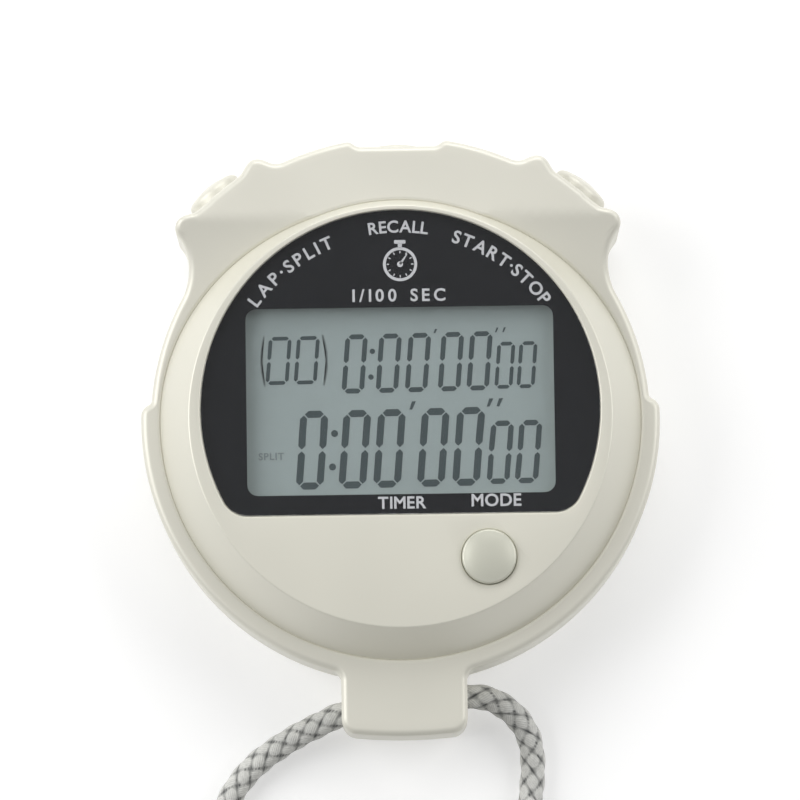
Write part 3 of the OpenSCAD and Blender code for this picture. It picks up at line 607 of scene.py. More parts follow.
COIL_X, COIL_Y = -4.0, -73.0
COIL_OUTER, COIL_INNER = 22.4, 11.8
COIL_TURNS = 6.5
BRAID_STRANDS = 4
BRAID_PITCH = 2.8
BRAID_DEPTH = 0.13
CORD_SIDES = 40
CORD_STEP = 0.335


def coil_points():
    """Turns wound inwards on the floor, up over the inner turn, and out again on top."""
    points = []
    half = COIL_TURNS / 2
    for t in np.linspace(0, COIL_TURNS, int(COIL_TURNS * 48) + 1)[1:-1]:
        inward = (COIL_OUTER - COIL_INNER) * min(t, COIL_TURNS - t) / half
        lift = np.clip((t - half + 0.3) / 0.6, 0, 1)
        z = CORD_D / 2 + CORD_D * lift * lift * (3 - 2 * lift)
        angle = -2 * math.pi * t
        radius = COIL_OUTER - inward
        points.append((COIL_X + radius * math.cos(angle), COIL_Y + radius * math.sin(angle), z))
    return points


def smooth_path(points, step):
    """Catmull-Rom through the points, resampled at equal steps."""
    p = np.array(points, float)
    p = np.vstack([2 * p[0] - p[1], p, 2 * p[-1] - p[-2]])
    pieces = []
    for i in range(1, len(p) - 2):
        a, b, c, d = p[i - 1 : i + 3]
        knots = [0.0]
        for u, v in ((a, b), (b, c), (c, d)):
            knots.append(knots[-1] + max(np.linalg.norm(v - u), 1e-9) ** 0.5)
        t = np.linspace(knots[1], knots[2], 24, endpoint=False)[:, None]

        def blend(m, n, k0, k1):
            return m * (k1 - t) / (k1 - k0) + n * (t - k0) / (k1 - k0)

        ab = blend(a, b, knots[0], knots[1])
        bc = blend(b, c, knots[1], knots[2])
        cd = blend(c, d, knots[2], knots[3])
        abc, bcd = blend(ab, bc, knots[0], knots[2]), blend(bc, cd, knots[1], knots[3])
        pieces.append(blend(abc, bcd, knots[1], knots[2]))
    dense = np.vstack(pieces + [p[-2]])
    along = np.concatenate([[0], np.cumsum(np.linalg.norm(np.diff(dense, axis=0), axis=1))])
    count = int(along[-1] / step)
    places = np.linspace(0, along[-1], count + 1)
    return np.column_stack([np.interp(places, along, dense[:, k]) for k in range(3)]), along[-1]


def braid(around, along):
    """Relief of a round braid, 0 in the gaps and 1 on the crowns, and the place across a strand.

    around is in turns and along in millimetres.
    """
    a = BRAID_STRANDS * around + along / BRAID_PITCH
    b = BRAID_STRANDS * around - along / BRAID_PITCH
    fa, fb = a - np.floor(a), b - np.floor(b)
    over = (np.floor(a) + np.floor(b)) % 2 == 0
    across = np.where(over, fa, fb)
    length = np.where(over, fb, fa)
    return np.sin(np.pi * across) ** 0.6 * (0.45 + 0.55 * np.sin(np.pi * length)), across


def make_cord():
    """The whole neck cord as one braided tube, from one side of the lug round to the other."""
    route = RIGHT_POINTS + coil_points() + LEFT_POINTS[::-1]
    path, length = smooth_path(route, CORD_STEP)
    count = len(path)
    tangent = np.gradient(path, axis=0)
    tangent /= np.linalg.norm(tangent, axis=1)[:, None]
    side = np.cross(tangent, [0, 0, 1])
    side /= np.linalg.norm(side, axis=1)[:, None]
    up = np.cross(side, tangent)
    along = np.linspace(0, length, count)[:, None]
    around = (np.arange(CORD_SIDES) / CORD_SIDES)[None, :]
    relief, across = braid(around, along)
    radius = CORD_D / 2 * (1 - BRAID_DEPTH + BRAID_DEPTH * relief)
    angle = 2 * math.pi * around
    points = (
        path[:, None, :]
        + (radius * np.cos(angle))[..., None] * side[:, None, :]
        + (radius * np.sin(angle))[..., None] * up[:, None, :]
    )
    values = {
        "relief": np.append(relief.ravel(), [0, 0]).astype(np.float32),
        "across": np.append(across.ravel(), [0, 0]).astype(np.float32),
    }
    made = piece("neck_cord", *loft(list(points), False, cap_ends=True), 1e-6, values)
    finish_piece(made, CORD, "case", ["cord_right", "cord_left", "cord_coil"], 180)
    return made


# ---- case outline ----


def disc(x, y, r, cx=0.0, cy=0.0):
    """Distance to a circle, below zero inside it."""
    return np.hypot(x - cx, y - cy) - r


def block(x, y, low, high, corner=0.0):
    """Distance to a rectangle between two corners, with rounded corners."""
    cx, cy = (low[0] + high[0]) / 2, (low[1] + high[1]) / 2
    qx = np.abs(x - cx) - (high[0] - low[0]) / 2 + corner
    qy = np.abs(y - cy) - (high[1] - low[1]) / 2 + corner
    return np.hypot(np.maximum(qx, 0), np.maximum(qy, 0)) + np.minimum(np.maximum(qx, qy), 0) - corner


def join(a, b, r):
    """Union of two distances with a fillet of radius r."""
    ends = np.hypot(np.maximum(r - a, 0), np.maximum(r - b, 0))
    return np.maximum(r, np.minimum(a, b)) - ends


def take(a, b, r):
    """Distance a without b, with its outer corners rounded to r."""
    return -join(-a, b, r)


def upper_edge(x, y):
    """Waist, guard over the top button, both horns with their lips, and the top notch."""
    x = np.abs(x)
    s = x * math.sin(HORN_ANGLE) + y * math.cos(HORN_ANGLE)
    u = x * math.cos(HORN_ANGLE) - y * math.sin(HORN_ANGLE)
    nose = block(u, s, (-LIP_V, 0), (LIP_V, HORN_S))
    lips = disc(np.abs(u), s, LIP_R, LIP_V, LIP_S)
    horn = join(nose, lips, LIP_FILLET)
    horn = np.minimum(horn, block(u, s, (-HORN_HALF, 0), (HORN_HALF, LIP_S)))
    guard = np.maximum(disc(x, y, GUARD_R), u)
    shape = join(horn, disc(x, y, WAIST_R), HORN_FILLET)
    shape = join(shape, guard, GUARD_FILLET)
    notch = block(x, y, (-NOTCH_HALF, NOTCH_S), (NOTCH_HALF, NOTCH_S + 9), NOTCH_CORNER)
    return take(shape, notch, NOTCH_CORNER)


def rim_edge(x, y):
    """Lower rim with rounded ends just above 3 and 9 o'clock."""
    x = np.abs(x)
    nose_x = math.sqrt((RIM_R - RIM_NOSE_R) ** 2 - RIM_TOP_Y**2)
    rim = np.maximum(disc(x, y, RIM_R), y - RIM_TOP_Y)
    return np.minimum(rim, disc(x, y, RIM_NOSE_R, nose_x, RIM_TOP_Y))


def rear_edge(x, y):
    """The whole outline but for the lug."""
    return join(upper_edge(x, y), rim_edge(x, y), RIM_FILLET)


def front_edge(x, y):
    """The rear outline and the cord lug, whose end bows out a little."""
    past_end, in_case = -LUG_END - 9, -LUG_END + 14
    lug = block(x, y, (-LUG_HALF, past_end), (LUG_HALF, in_case))
    lug = take(lug, -disc(x, y, LUG_BOW_R, 0, LUG_BOW_R - LUG_END), LUG_CORNER)
    return join(rear_edge(x, y), lug, LUG_FILLET)


def trace(edge, count):
    """Points round an outline at equal spacing, with their inward directions.

    Each ray from the middle is searched from outside in, and then by halving. The directions
    are averaged over a few neighbours, so that an inset doesn't fold at a corner.
    """
    turn = np.linspace(-math.pi / 2, 1.5 * math.pi, 14400, endpoint=False)
    low = np.full(len(turn), WAIST_R - 3)
    high = np.full(len(turn), LUG_END + 2)
    steps = np.linspace(LUG_END + 2, WAIST_R - 3, 240)
    for outer, inner in zip(steps[:-1], steps[1:]):
        inside = edge(inner * np.cos(turn), inner * np.sin(turn)) <= 0
        fresh = inside & (high == LUG_END + 2)
        low[fresh], high[fresh] = inner, outer
    for _ in range(24):
        middle = (low + high) / 2
        inside = edge(middle * np.cos(turn), middle * np.sin(turn)) <= 0
        low, high = np.where(inside, middle, low), np.where(inside, high, middle)
    outline = np.column_stack([low * np.cos(turn), low * np.sin(turn)])
    closed = np.vstack([outline, outline[:1]])
    along = np.concatenate([[0], np.cumsum(np.linalg.norm(np.diff(closed, axis=0), axis=1))])
    places = np.linspace(0, along[-1], count, endpoint=False)
    x, y = (np.interp(places, along, closed[:, k]) for k in (0, 1))
    near = 0.02
    gx = edge(x + near, y) - edge(x - near, y)
    gy = edge(x, y + near) - edge(x, y - near)
    inward = np.column_stack([-gx, -gy]) / np.hypot(gx, gy)[:, None]
    neighbours = range(-4, 5)
    inward = sum(np.roll(inward, k, axis=0) for k in neighbours)
    return np.column_stack([x, y]), inward / np.linalg.norm(inward, axis=1)[:, None]


def deck_height(xy):
    """Height of the case's top: a flat ledge below, curving up to the deck above."""
    rise = np.clip(xy[:, 1] - RIM_TOP_Y, 0, DECK_RUN)
    return LEDGE_Z + DECK_CURVE_R - np.sqrt(DECK_CURVE_R**2 - rise**2)


def ring_at(xy, z):
    return np.column_stack([xy, np.broadcast_to(z, len(xy))])


def pocket_radius(z):
    """Radius of the sloping pocket that the bezel sits in."""
    return BEZEL_R + BEZEL_GAP - (z - SEAT_Z) * (BEZEL_R - FACE_R) / (FACE_Z - SEAT_Z)


def front_case():
    """A closed band: cavity wall, bezel seat, deck, outer edge, and side down to the seam."""
    outline, inward = trace(front_edge, 1500)
    away = outline / np.linalg.norm(outline, axis=1)[:, None]
    mouth_z = np.full(len(outline), DECK_Z)
    for _ in range(12):
        mouth_z = deck_height(away * pocket_radius(mouth_z)[:, None])
    lip = 0.4
    rings = [
        ring_at(away * CAVITY_R, SEAM_Z + SEAM_GAP),
        ring_at(away * CAVITY_R, FLANGE_Z),
        ring_at(away * SEAT_R, FLANGE_Z),
        ring_at(away * SEAT_R, SEAT_Z),
        ring_at(away * (BEZEL_R + BEZEL_GAP), SEAT_Z),
    ]
    mouth_r = pocket_radius(mouth_z)
    for t in (0.0, 0.35, 0.7, 1.0):
        out = lip * (1 - math.sqrt(1 - t * t))
        xy = away * (mouth_r + out + 0.02)[:, None]
        rings.append(ring_at(xy, deck_height(xy) - lip * (1 - t)))
    start = away * (mouth_r + lip + 0.05)[:, None]
    end = outline + inward * EDGE_R
    for t in np.linspace(0, 1, 9)[:-1]:
        xy = start + (end - start) * t
        rings.append(ring_at(xy, deck_height(xy)))
    edge_z = deck_height(outline)
    for phi in np.radians(np.linspace(0, 90, 8)):
        xy = outline + inward * EDGE_R * (1 - math.sin(phi))
        rings.append(ring_at(xy, np.minimum(deck_height(xy), edge_z + 0.1) - EDGE_R * (1 - math.cos(phi))))
    on_lug = (np.abs(outline[:, 0]) < LUG_HALF + 0.3) & (outline[:, 1] < -RIM_R - 0.35)
    foot_z = np.where(on_lug, LUG_Z, SEAM_Z + SEAM_GAP)
    foot_r = np.where(on_lug, 0.9, 0.12)
    for phi in np.radians(np.linspace(0, 90, 6)):
        xy = outline + inward * (foot_r * (1 - math.cos(phi)))[:, None]
        rings.append(ring_at(xy, foot_z + foot_r * (1 - math.sin(phi))))
    root = np.where(on_lug[:, None], away * (RIM_R + 0.15), outline + inward * 0.12)
    rings.append(ring_at(root, foot_z))
    rings.append(ring_at(root, SEAM_Z + SEAM_GAP))
    made = piece("front_shell", *loft(rings, True))
    for angle, face_s, cap_r in (
        (HORN_ANGLE, HORN_S, SIDE_CAP_R),
        (-HORN_ANGLE, HORN_S, SIDE_CAP_R),
        (0.0, NOTCH_S, TOP_CAP_R),
    ):
        cut(made, button_bore(angle, face_s, cap_r))
    cut(made, slot_cutter())
    return finish_piece(made, SILVER, "case", ["front_case"])


def on_axis(angle):
    """Place of a part drawn along +Z from the middle of the case, on a button's axis."""
    return (
        Matrix.Rotation(-angle, 4, "Z")
        @ Matrix.Translation((0, 0, BUTTON_Z))
        @ Matrix.Rotation(-math.pi / 2, 4, "X")
    )


def button_bore(angle, face_s, cap_r):
    """Bore with a softened mouth, the guide that the stem runs in, and the ring's seat inside."""
    r = cap_r + RUNNING_GAP
    stem_r = STEM_R + RUNNING_GAP
    soft = 0.3
    profile = [
        (0, CAVITY_R - 3), (RING_SPOT_R, CAVITY_R - 3), (RING_SPOT_R, RING_FACE_S),
        (stem_r, RING_FACE_S), (stem_r, GUIDE_S), (r, GUIDE_S), (r, face_s - soft),
    ]
    profile += arc((r + soft, face_s - soft), soft, 180, 90, 5)
    profile += [(r + soft, face_s + 4), (0, face_s + 4)]
    return lathe("bore", profile, 96, on_axis(angle))


def slot_cutter():
    """The cord slot, which widens at both mouths."""
    steps = np.linspace(0, 2 * math.pi, 64, endpoint=False)
    span = (SLOT_W - SLOT_H) / 2
    rings = []
    flare = 0.7
    stations = [(-LUG_HALF - 2, flare)]
    for t in np.linspace(0, 1, 6):
        stations.append((-LUG_HALF + flare * t, flare * (1 - math.sqrt(1 - (1 - t) ** 2))))
    stations += [(-s, grow) for s, grow in reversed(stations)]
    for x, grow in stations:
        y = SLOT_Y + np.sign(np.cos(steps)) * span + (SLOT_H / 2 + grow) * np.cos(steps)
        z = SLOT_Z + (SLOT_H / 2 + grow) * np.sin(steps)
        rings.append(np.column_stack([np.full(64, x), y, z]))
    return piece("slot", *loft(rings, False, cap_ends=True))


def rear_case():
    """A shallow dish with the battery pocket, screw bosses and sound holes."""
    outline, inward = trace(rear_edge, 1400)
    away = outline / np.linalg.norm(outline, axis=1)[:, None]
    reach = np.linalg.norm(outline, axis=1)
    flat_r = WAIST_R - BACK_ROUND
    rings = [ring_at(away * r, 0.0) for r in (6.0, 14.0, 21.0, 26.0)]
    for phi in turns(14):
        r = flat_r + (reach - flat_r) * math.sin(phi)
        rings.append(ring_at(away * r[:, None], BACK_ROUND * (1 - math.cos(phi))))
    rings.append(ring_at(outline, SEAM_Z - 0.15))
    rings.append(ring_at(outline + inward * 0.12, SEAM_Z - SEAM_GAP))
    rings.append(ring_at(away * CAVITY_R, SEAM_Z - SEAM_GAP))
    rings.append(ring_at(away * CAVITY_R, WALL))
    rings.append(ring_at(away * 20, WALL))
    made = piece("rear_shell", *loft(rings, False, cap_ends=True))
    add(made, rod(POCKET_GROOVE_R + POCKET_WALL, WALL - 0.5, REAR_HIGH.z, HATCH_PLACE))
    for x, y in SCREW_PLACES:
        add(made, rod(BOSS_R, WALL - 0.5, SEAM_Z - 0.04, (x, y)))
    cut(made, hatch_pocket())
    for x, y in SCREW_PLACES:
        cut(made, hole(SCREW_HEAD_R + 0.15, 0.0, SCREW_HEAD_TOP, 0.2, (x, y)))
        cut(made, rod(SCREW_R + 0.15, 0.5, SEAM_Z + 1, (x, y)))
    for k in (-1, 0, 1):
        cut(made, hole(SOUND_HOLE_R, 0.0, WALL + 1, 0.2, (k * SOUND_HOLE_PITCH, BUZZER_UP)))
    cut(made, hole(HATCH_MARK_R, 0.0, 0.25, 0.1, mark_place(0)))
    cut(made, hole(HATCH_MARK_R, 0.0, 0.25, 0.1, mark_place(HATCH_TURN)))
    return finish_piece(made, SILVER, "case", ["rear_case"])


def rod(r, low, high, place, segments=96):
    """A plain round solid standing between two heights."""
    profile = [(0, low), (r, low), (r, high), (0, high)]
    return lathe("rod", profile, segments, Matrix.Translation((*place, 0)))


def hole(r, face, depth, soft, place):
    """Cutter for a round hole up into a face that looks down, flared just behind its mouth."""
    profile = [(0, face - 1), (r + soft, face - 1)]
    profile += [(r + soft * (1 - math.cos(a)), face + soft * math.sin(a)) for a in turns(5)]
    profile += [(r, face + depth), (0, face + depth)]
    return lathe("hole", profile, 72, Matrix.Translation((*place, 0)))


def sector(inner, outer, angle, turn, steps=20):
    """Anticlockwise outline of a part of a ring, centred on turn."""
    points = arc((0, 0), outer, turn - angle / 2, turn + angle / 2, steps)
    return points + arc((0, 0), inner, turn + angle / 2, turn - angle / 2, steps)


def hatch_pocket():
    """Opening for the hatch, the cell pocket, the groove for the tabs and their way in."""
    soft = 0.25
    profile = [(0, -1), (HATCH_R + HATCH_GAP + soft, -1)]
    profile += [(HATCH_R + HATCH_GAP + soft * (1 - math.sin(a)), soft * (1 - math.cos(a))) for a in turns(5)]
    profile += [
        (HATCH_R + HATCH_GAP, HATCH_SEAT_Z), (POCKET_R, HATCH_SEAT_Z), (POCKET_R, TAB_Z - TAB_GAP),
        (POCKET_GROOVE_R, TAB_Z - TAB_GAP), (POCKET_GROOVE_R, TAB_Z + TAB_T + TAB_GAP),
        (POCKET_R, TAB_Z + TAB_T + TAB_GAP), (POCKET_R, REAR_HIGH.z + 1), (0, REAR_HIGH.z + 1),
    ]
    made = lathe("pocket", profile, 160)
    for side in (0, 180):
        way = sector(POCKET_R - 1, POCKET_GROOVE_R - 0.05, TAB_ANGLE + 6, side - HATCH_TURN)
        add(made, prism("way", way, [(HATCH_SEAT_Z - 0.3, 0), (TAB_Z + 0.3, 0)]))
    made.data.transform(Matrix.Translation((*HATCH_PLACE, 0)))
    return made


def mark_place(turn):
    """Place of a dimple on the case that the dimple on the hatch points to."""
    r = HATCH_R + 1.9
    angle = math.radians(90 - turn)
    return HATCH_PLACE[0] + r * math.cos(angle), HATCH_PLACE[1] + r * math.sin(angle)


def hatch_cover():
    """Round battery door with a coin slot, a hollow plug and two bayonet tabs."""
    soft = 0.3
    plug_r = POCKET_R - RUNNING_GAP
    low, high = DOOR_LOW.z, DOOR_LOW.z + HATCH_T
    profile = [(0, low)]
    profile += [(HATCH_R - soft * (1 - math.sin(a)), low + soft * (1 - math.cos(a))) for a in turns(6)]
    profile += [
        (HATCH_R, high), (plug_r, high), (plug_r, DOOR_HIGH.z), (plug_r - 1.2, DOOR_HIGH.z),
        (plug_r - 1.2, high + 0.4), (0, high + 0.4),
    ]
    made = lathe("hatch_cover", profile, 160)
    for side in (0, 180):
        tab = sector(plug_r - 0.6, plug_r + TAB_REACH, TAB_ANGLE, side)
        add(made, prism("tab", tab, [(TAB_Z, 0), (DOOR_HIGH.z, 0)]))
    slot = rounded_box(COIN_SLOT_L, COIN_SLOT_W, COIN_SLOT_W / 2 - 0.01)
    slot_soft = 0.18
    levels = [(low - 1, slot_soft)]
    levels += [(low + slot_soft * (1 - math.cos(a)), slot_soft * (1 - math.sin(a))) for a in turns(5)]
    cut(made, prism("coin_slot", slot, levels + [(low + COIN_SLOT_T, 0)]))
    cut(made, hole(HATCH_MARK_R, low, 0.25, 0.1, (0, HATCH_R - 1.7)))
    made.data.transform(Matrix.Translation((*HATCH_PLACE, 0)))
    return finish_piece(made, SILVER, "battery_hatch", ["battery_door"])


# ---- face, window and print ----


def lens_outline(grow=0.0):
    """Round window outline with a flat lower edge and two rounded corners."""
    r, c = LENS_R + grow, LENS_CORNER + grow
    corner_y = -LENS_DROP - grow + c
    corner_x = math.sqrt((r - c) ** 2 - (corner_y - LENS_UP) ** 2)
    meet = math.degrees(math.atan2(corner_y - LENS_UP, corner_x))
    points = arc((0, LENS_UP), r, meet, 180 - meet, 150)
    points += arc((-corner_x, corner_y), c, 180 - meet, 270, 14)[1:]
    points += arc((corner_x, corner_y), c, -90, meet, 14)[:-1]
    return points


def face_ring():
    """Sloping ring and flat face with the window pocket, the mode bore and the board posts."""
    soft = 0.3
    profile = [(0, FACE_Z)]
    slope = math.atan2(FACE_Z - SEAT_Z, BEZEL_R - FACE_R)
    centre = (FACE_R - soft * math.tan(slope / 2), FACE_Z - soft)
    profile += arc(centre, soft, 90, 90 - math.degrees(slope), 6)
    profile += [
        (BEZEL_R - 0.12, SEAT_Z + 0.17), (BEZEL_R - 0.12, SEAT_Z), (FACE_BORE_R, SEAT_Z),
        (FACE_BORE_R, FACE_UNDER_Z), (0, FACE_UNDER_Z),
    ]
    made = lathe("face_ring", profile, 256)
    pocket = [(MASK_LOW.z - 0.02, LENS_GAP)]
    pocket += [(z, LENS_GAP + grow) for z, grow in mouth(FACE_Z, 1, 0.12)]
    cut(made, prism("pocket", lens_outline(), pocket))
    opening = rounded_box(WINDOW_W + 0.8, WINDOW_H + 0.8, WINDOW_CORNER, (0, WINDOW_UP))
    cut(made, prism("opening", opening, [(FACE_UNDER_Z - 1, 0), (FACE_Z, 0)]))
    bore = [(FACE_UNDER_Z - 1, 0)] + mouth(FACE_Z, 1, 0.18)
    ring = arc((0, 0), MODE_R + RUNNING_GAP, 0, 360, 97)[:-1]
    cutter = prism("mode_bore", ring, bore)
    cutter.data.transform(Matrix.Translation((*MODE_PLACE, 0)))
    cut(made, cutter)
    tip, root = BEZEL_LOW.z, FACE_UNDER_Z + 0.3
    post = [
        (0, tip + POST_BORE_T), (POST_BORE_R, tip + POST_BORE_T), (POST_BORE_R, tip), (POST_R, tip),
        (POST_R, root), (0, root),
    ]
    for x, y in POST_PLACES:
        add(made, lathe("post", post, 48, Matrix.Translation((x, y, 0))))
    return finish_piece(made, SILVER_FACE, "case", ["face_bezel"])


def clear_window():
    """Clear plate over the print, with a fine bevel round its top."""
    levels = [
        (LENS_LOW.z + 0.06, 0), (LENS_HIGH.z - 0.2, 0), (LENS_HIGH.z - 0.1, -0.05),
        (LENS_HIGH.z - 0.03, -0.14), (LENS_HIGH.z, -0.28),
    ]
    made = prism("clear_window", lens_outline(), levels)
    return finish_piece(made, LENS, "case", ["lens"], 20)


def window_print():
    """Black print behind the lens, with round corners to its window."""
    made = prism("window_print", lens_outline(-0.01), [(MASK_LOW.z, 0), (MASK_HIGH.z - 0.03, 0)])
    window = rounded_box(WINDOW_W, WINDOW_H, WINDOW_CORNER, (0, WINDOW_UP))
    cut(made, prism("window", window, [(MASK_LOW.z - 1, 0), (MASK_HIGH.z + 1, 0)]))
    return finish_piece(made, BLACK_PRINT, "case", ["window_mask"])


GLYPHS = {}


def glyph(letter):
    """Points, faces and width of one letter a unit high, from the built-in typeface."""
    if letter in GLYPHS:
        return GLYPHS[letter]
    curve = bpy.data.curves.new("letter", "FONT")
    curve.body = letter
    curve.extrude = 0.01
    curve.offset = 0.02
    curve.resolution_u = 4
    text = bpy.data.objects.new("letter", curve)
    bpy.context.scene.collection.objects.link(text)
    bpy.context.view_layer.update()
    mesh = bpy.data.meshes.new_from_object(text.evaluated_get(bpy.context.evaluated_depsgraph_get()))
    points = np.array([v.co[:] for v in mesh.vertices])
    faces = [tuple(f.vertices) for f in mesh.polygons]
    bpy.data.objects.remove(text)
    bpy.data.meshes.remove(mesh)
    low, high = points.min(0), points.max(0)
    points -= ((low[0] + high[0]) / 2, 0, points[:, 2].min())
    GLYPHS[letter] = points, faces, high[0] - low[0]
    return GLYPHS[letter]


def lettering(words, height, span, place_at, thick):
    """Letters spread over a span; place_at gives the matrix for a distance from its middle."""
    scale = height / glyph("H")[0][:, 1].max()
    widths = [0.45 * height if c == " " else glyph(c)[2] * scale for c in words]
    gap = (span - sum(widths)) / (len(words) - 1)
    parts = []
    edge = -span / 2
    for letter, width in zip(words, widths):
        if letter == " ":
            edge += width + gap
            continue
        points, faces, _ = glyph(letter)
        made = piece("letter", points, faces)
        flat = Matrix.Diagonal((scale, scale, thick / points[:, 2].max(), 1))
        made.data.transform(place_at(edge + width / 2) @ flat)
        parts.append(made)
        edge += width + gap
    return parts


def straight(x, y):
    """Places for letters on a level line."""
    return lambda along: Matrix.Translation((x + along, y, PRINT_Z))


def curved(angle, r):
    """Places for letters round the top of the lens, with the middle at angle from 3 o'clock."""

    def place_at(along):
        turn = math.radians(angle) - along / r
        x, y = r * math.cos(turn), LENS_UP + r * math.sin(turn)
        return Matrix.Translation((x, y, PRINT_Z)) @ Matrix.Rotation(turn - math.pi / 2, 4, "Z")

    return place_at


def stopwatch_sign():
    """A plain sign of a stopwatch: a ring with a crown on a stem and one hand."""
    x, y = SIGN_PLACE
    levels = [(0, 0), (PRINT_T, 0)]
    ring = lathe("ring", [(1.75, 0), (2.1, 0), (2.1, PRINT_T), (1.75, PRINT_T)], 64, closed=True)
    hub = prism("hub", arc((0, 0), 0.36, 0, 360, 25)[:-1], levels)
    hand = prism("hand", [(-0.16, 0), (0.16, 0), (0.06, 1.5), (-0.06, 1.5)], levels)
    hand.data.transform(Matrix.Rotation(math.radians(-35), 4, "Z"))
    stem = prism("stem", rounded_box(0.5, 0.6, 0.05, (0, 2.3)), levels)
    crown = prism("crown", rounded_box(1.4, 0.45, 0.12, (0, 2.75)), levels)
    parts = [ring, hub, hand, stem, crown]
    for turn in range(0, 360, 30):
        tick = prism("tick", rounded_box(0.14, 0.3, 0.03, (0, 1.5)), levels)
        tick.data.transform(Matrix.Rotation(math.radians(turn), 4, "Z"))
        parts.append(tick)
    for part in parts:
        part.data.transform(Matrix.Translation((x, y, PRINT_Z)))
    return parts


def window_legends():
    """White print: what each button does, and a plain sign above the display."""
    arc_r = LENS_R - 3.05
    legends = [
        ("LAP·SPLIT", 1.55, 12.2, curved(127.6, arc_r + 0.1)),
        ("RECALL", 1.45, 7.2, curved(89.9, arc_r + 0.35)),
        ("START·STOP", 1.55, 13.9, curved(53.9, arc_r + 0.1)),
        ("1/100 SEC", 1.5, 11.4, straight(0, 14.2)),
        ("TIMER", 1.45, 5.9, straight(0.05, -11.3)),
        ("MODE", 1.5, 6.1, straight(11.6, -11.15)),
    ]
    parts = [letter for legend in legends for letter in lettering(*legend, PRINT_T)]
    made = merged("window_legends", parts + stopwatch_sign())
    return finish_piece(made, WHITE_PRINT, "case")


# ---- display segments ----


def geometry_tree(name, inputs, build):
    """A Geometry Nodes tree; build gets the nodes and the group inputs and returns the result."""
    tree = bpy.data.node_groups.new(name, "GeometryNodeTree")
    tree.interface.new_socket("Geometry", in_out="INPUT", socket_type="NodeSocketGeometry")
    tree.interface.new_socket("Geometry", in_out="OUTPUT", socket_type="NodeSocketGeometry")
    for label, kind in inputs:
        tree.interface.new_socket(label, in_out="INPUT", socket_type=kind)
    nodes = Nodes(tree)
    given = nodes.new("NodeGroupInput").outputs
    end = nodes.new("NodeGroupOutput")
    nodes.feed(end.inputs["Geometry"], build(nodes, given))
    return tree


def run_tree(name, tree, points, values):
    """Runs a tree on loose points with its inputs set by name, as a plain mesh object."""
    mesh = bpy.data.meshes.new(name)
    mesh.from_pydata([(*p, 0) if len(p) == 2 else tuple(p) for p in points], [], [])
    host = bpy.data.objects.new(name, mesh)
    bpy.context.scene.collection.objects.link(host)
    modifier = host.modifiers.new("build", "NODES")
    modifier.node_group = tree
    for item in tree.interface.items_tree:
        if item.in_out == "INPUT" and item.name in values:
            modifier[item.identifier] = values[item.name]
    bake_modifiers(host)
    return host


def build_bar(nodes, given):
    """One display segment: a flat bar with pointed ends, drawn along X."""
    blank = nodes.new(
        "GeometryNodeMeshCylinder", {"Vertices": 6, "Radius": 1.0, "Depth": given["Thickness"]}
    )
    place = nodes.new("ShaderNodeSeparateXYZ", {0: nodes.new("GeometryNodeInputPosition")})
    end = nodes.math("SIGN", place.outputs["X"])
    side = nodes.math("ROUND", place.outputs["Y"])
    half_stroke = nodes.math("MULTIPLY", given["Stroke"], 0.5)
    shoulder = nodes.math("MULTIPLY", nodes.math("ABSOLUTE", side), half_stroke)
    reach = nodes.math("SUBTRACT", nodes.math("MULTIPLY", given["Length"], 0.5), shoulder)
    shaped = nodes.new(
        "ShaderNodeCombineXYZ",
        {
            "X": nodes.math("MULTIPLY", end, reach),
            "Y": nodes.math("MULTIPLY", side, half_stroke),
            "Z": place.outputs["Z"],
        },
    )
    return nodes.new("GeometryNodeSetPosition", {"Geometry": blank, "Position": shaped})


BAR = geometry_tree(
    "segment_bar",
    [("Length", FLOAT), ("Stroke", FLOAT), ("Thickness", FLOAT)],
    build_bar,
)


def build_digits(nodes, given):
    """A nought of six bars on every point, leaning to the right."""
    stroke = given["Stroke"]
    side_x = nodes.math("MULTIPLY", nodes.math("SUBTRACT", given["Width"], stroke), 0.5)
    top_y = nodes.math("MULTIPLY", nodes.math("SUBTRACT", given["Height"], stroke), 0.5)
    gap = given["Gap"]
    level = nodes.math("SUBTRACT", nodes.math("MULTIPLY", side_x, 2.0), gap)
    upright = nodes.math("SUBTRACT", top_y, gap)

    def bar(length, x, y, turn):
        made = nodes.new(
            "GeometryNodeGroup",
            {"Length": length, "Stroke": stroke, "Thickness": given["Thickness"]},
            node_tree=BAR,
        )
        place = nodes.new("ShaderNodeCombineXYZ", {"X": x, "Y": y})
        return nodes.new(
            "GeometryNodeTransform",
            {"Geometry": made, "Translation": place, "Rotation": (0, 0, turn)},
        )

    joined = nodes.new("GeometryNodeJoinGeometry")
    for up in (1, -1):
        y = nodes.math("MULTIPLY", top_y, up)
        nodes.feed(joined.inputs[0], bar(level, 0.0, y, 0.0))
        for side in (1, -1):
            x = nodes.math("MULTIPLY", side_x, side)
            nodes.feed(joined.inputs[0], bar(upright, x, nodes.math("MULTIPLY", y, 0.5), math.pi / 2))
    place = nodes.new("ShaderNodeSeparateXYZ", {0: nodes.new("GeometryNodeInputPosition")})
    lean = nodes.new("ShaderNodeCombineXYZ", {"X": nodes.math("MULTIPLY", place.outputs["Y"], given["Lean"])})
    leaning = nodes.new("GeometryNodeSetPosition", {"Geometry": joined, "Offset": lean})
    spread = nodes.new("GeometryNodeInstanceOnPoints", {"Points": given["Geometry"], "Instance": leaning})
    real = nodes.new("GeometryNodeRealizeInstances", {"Geometry": spread})
    return nodes.new("GeometryNodeSetMaterial", {"Geometry": real, "Material": given["Material"]})


DIGITS = geometry_tree(
    "digit_row",
    [
        ("Width", FLOAT), ("Height", FLOAT), ("Stroke", FLOAT), ("Gap", FLOAT),
        ("Lean", FLOAT), ("Thickness", FLOAT), ("Material", "NodeSocketMaterial"),
    ],
    build_digits,
)

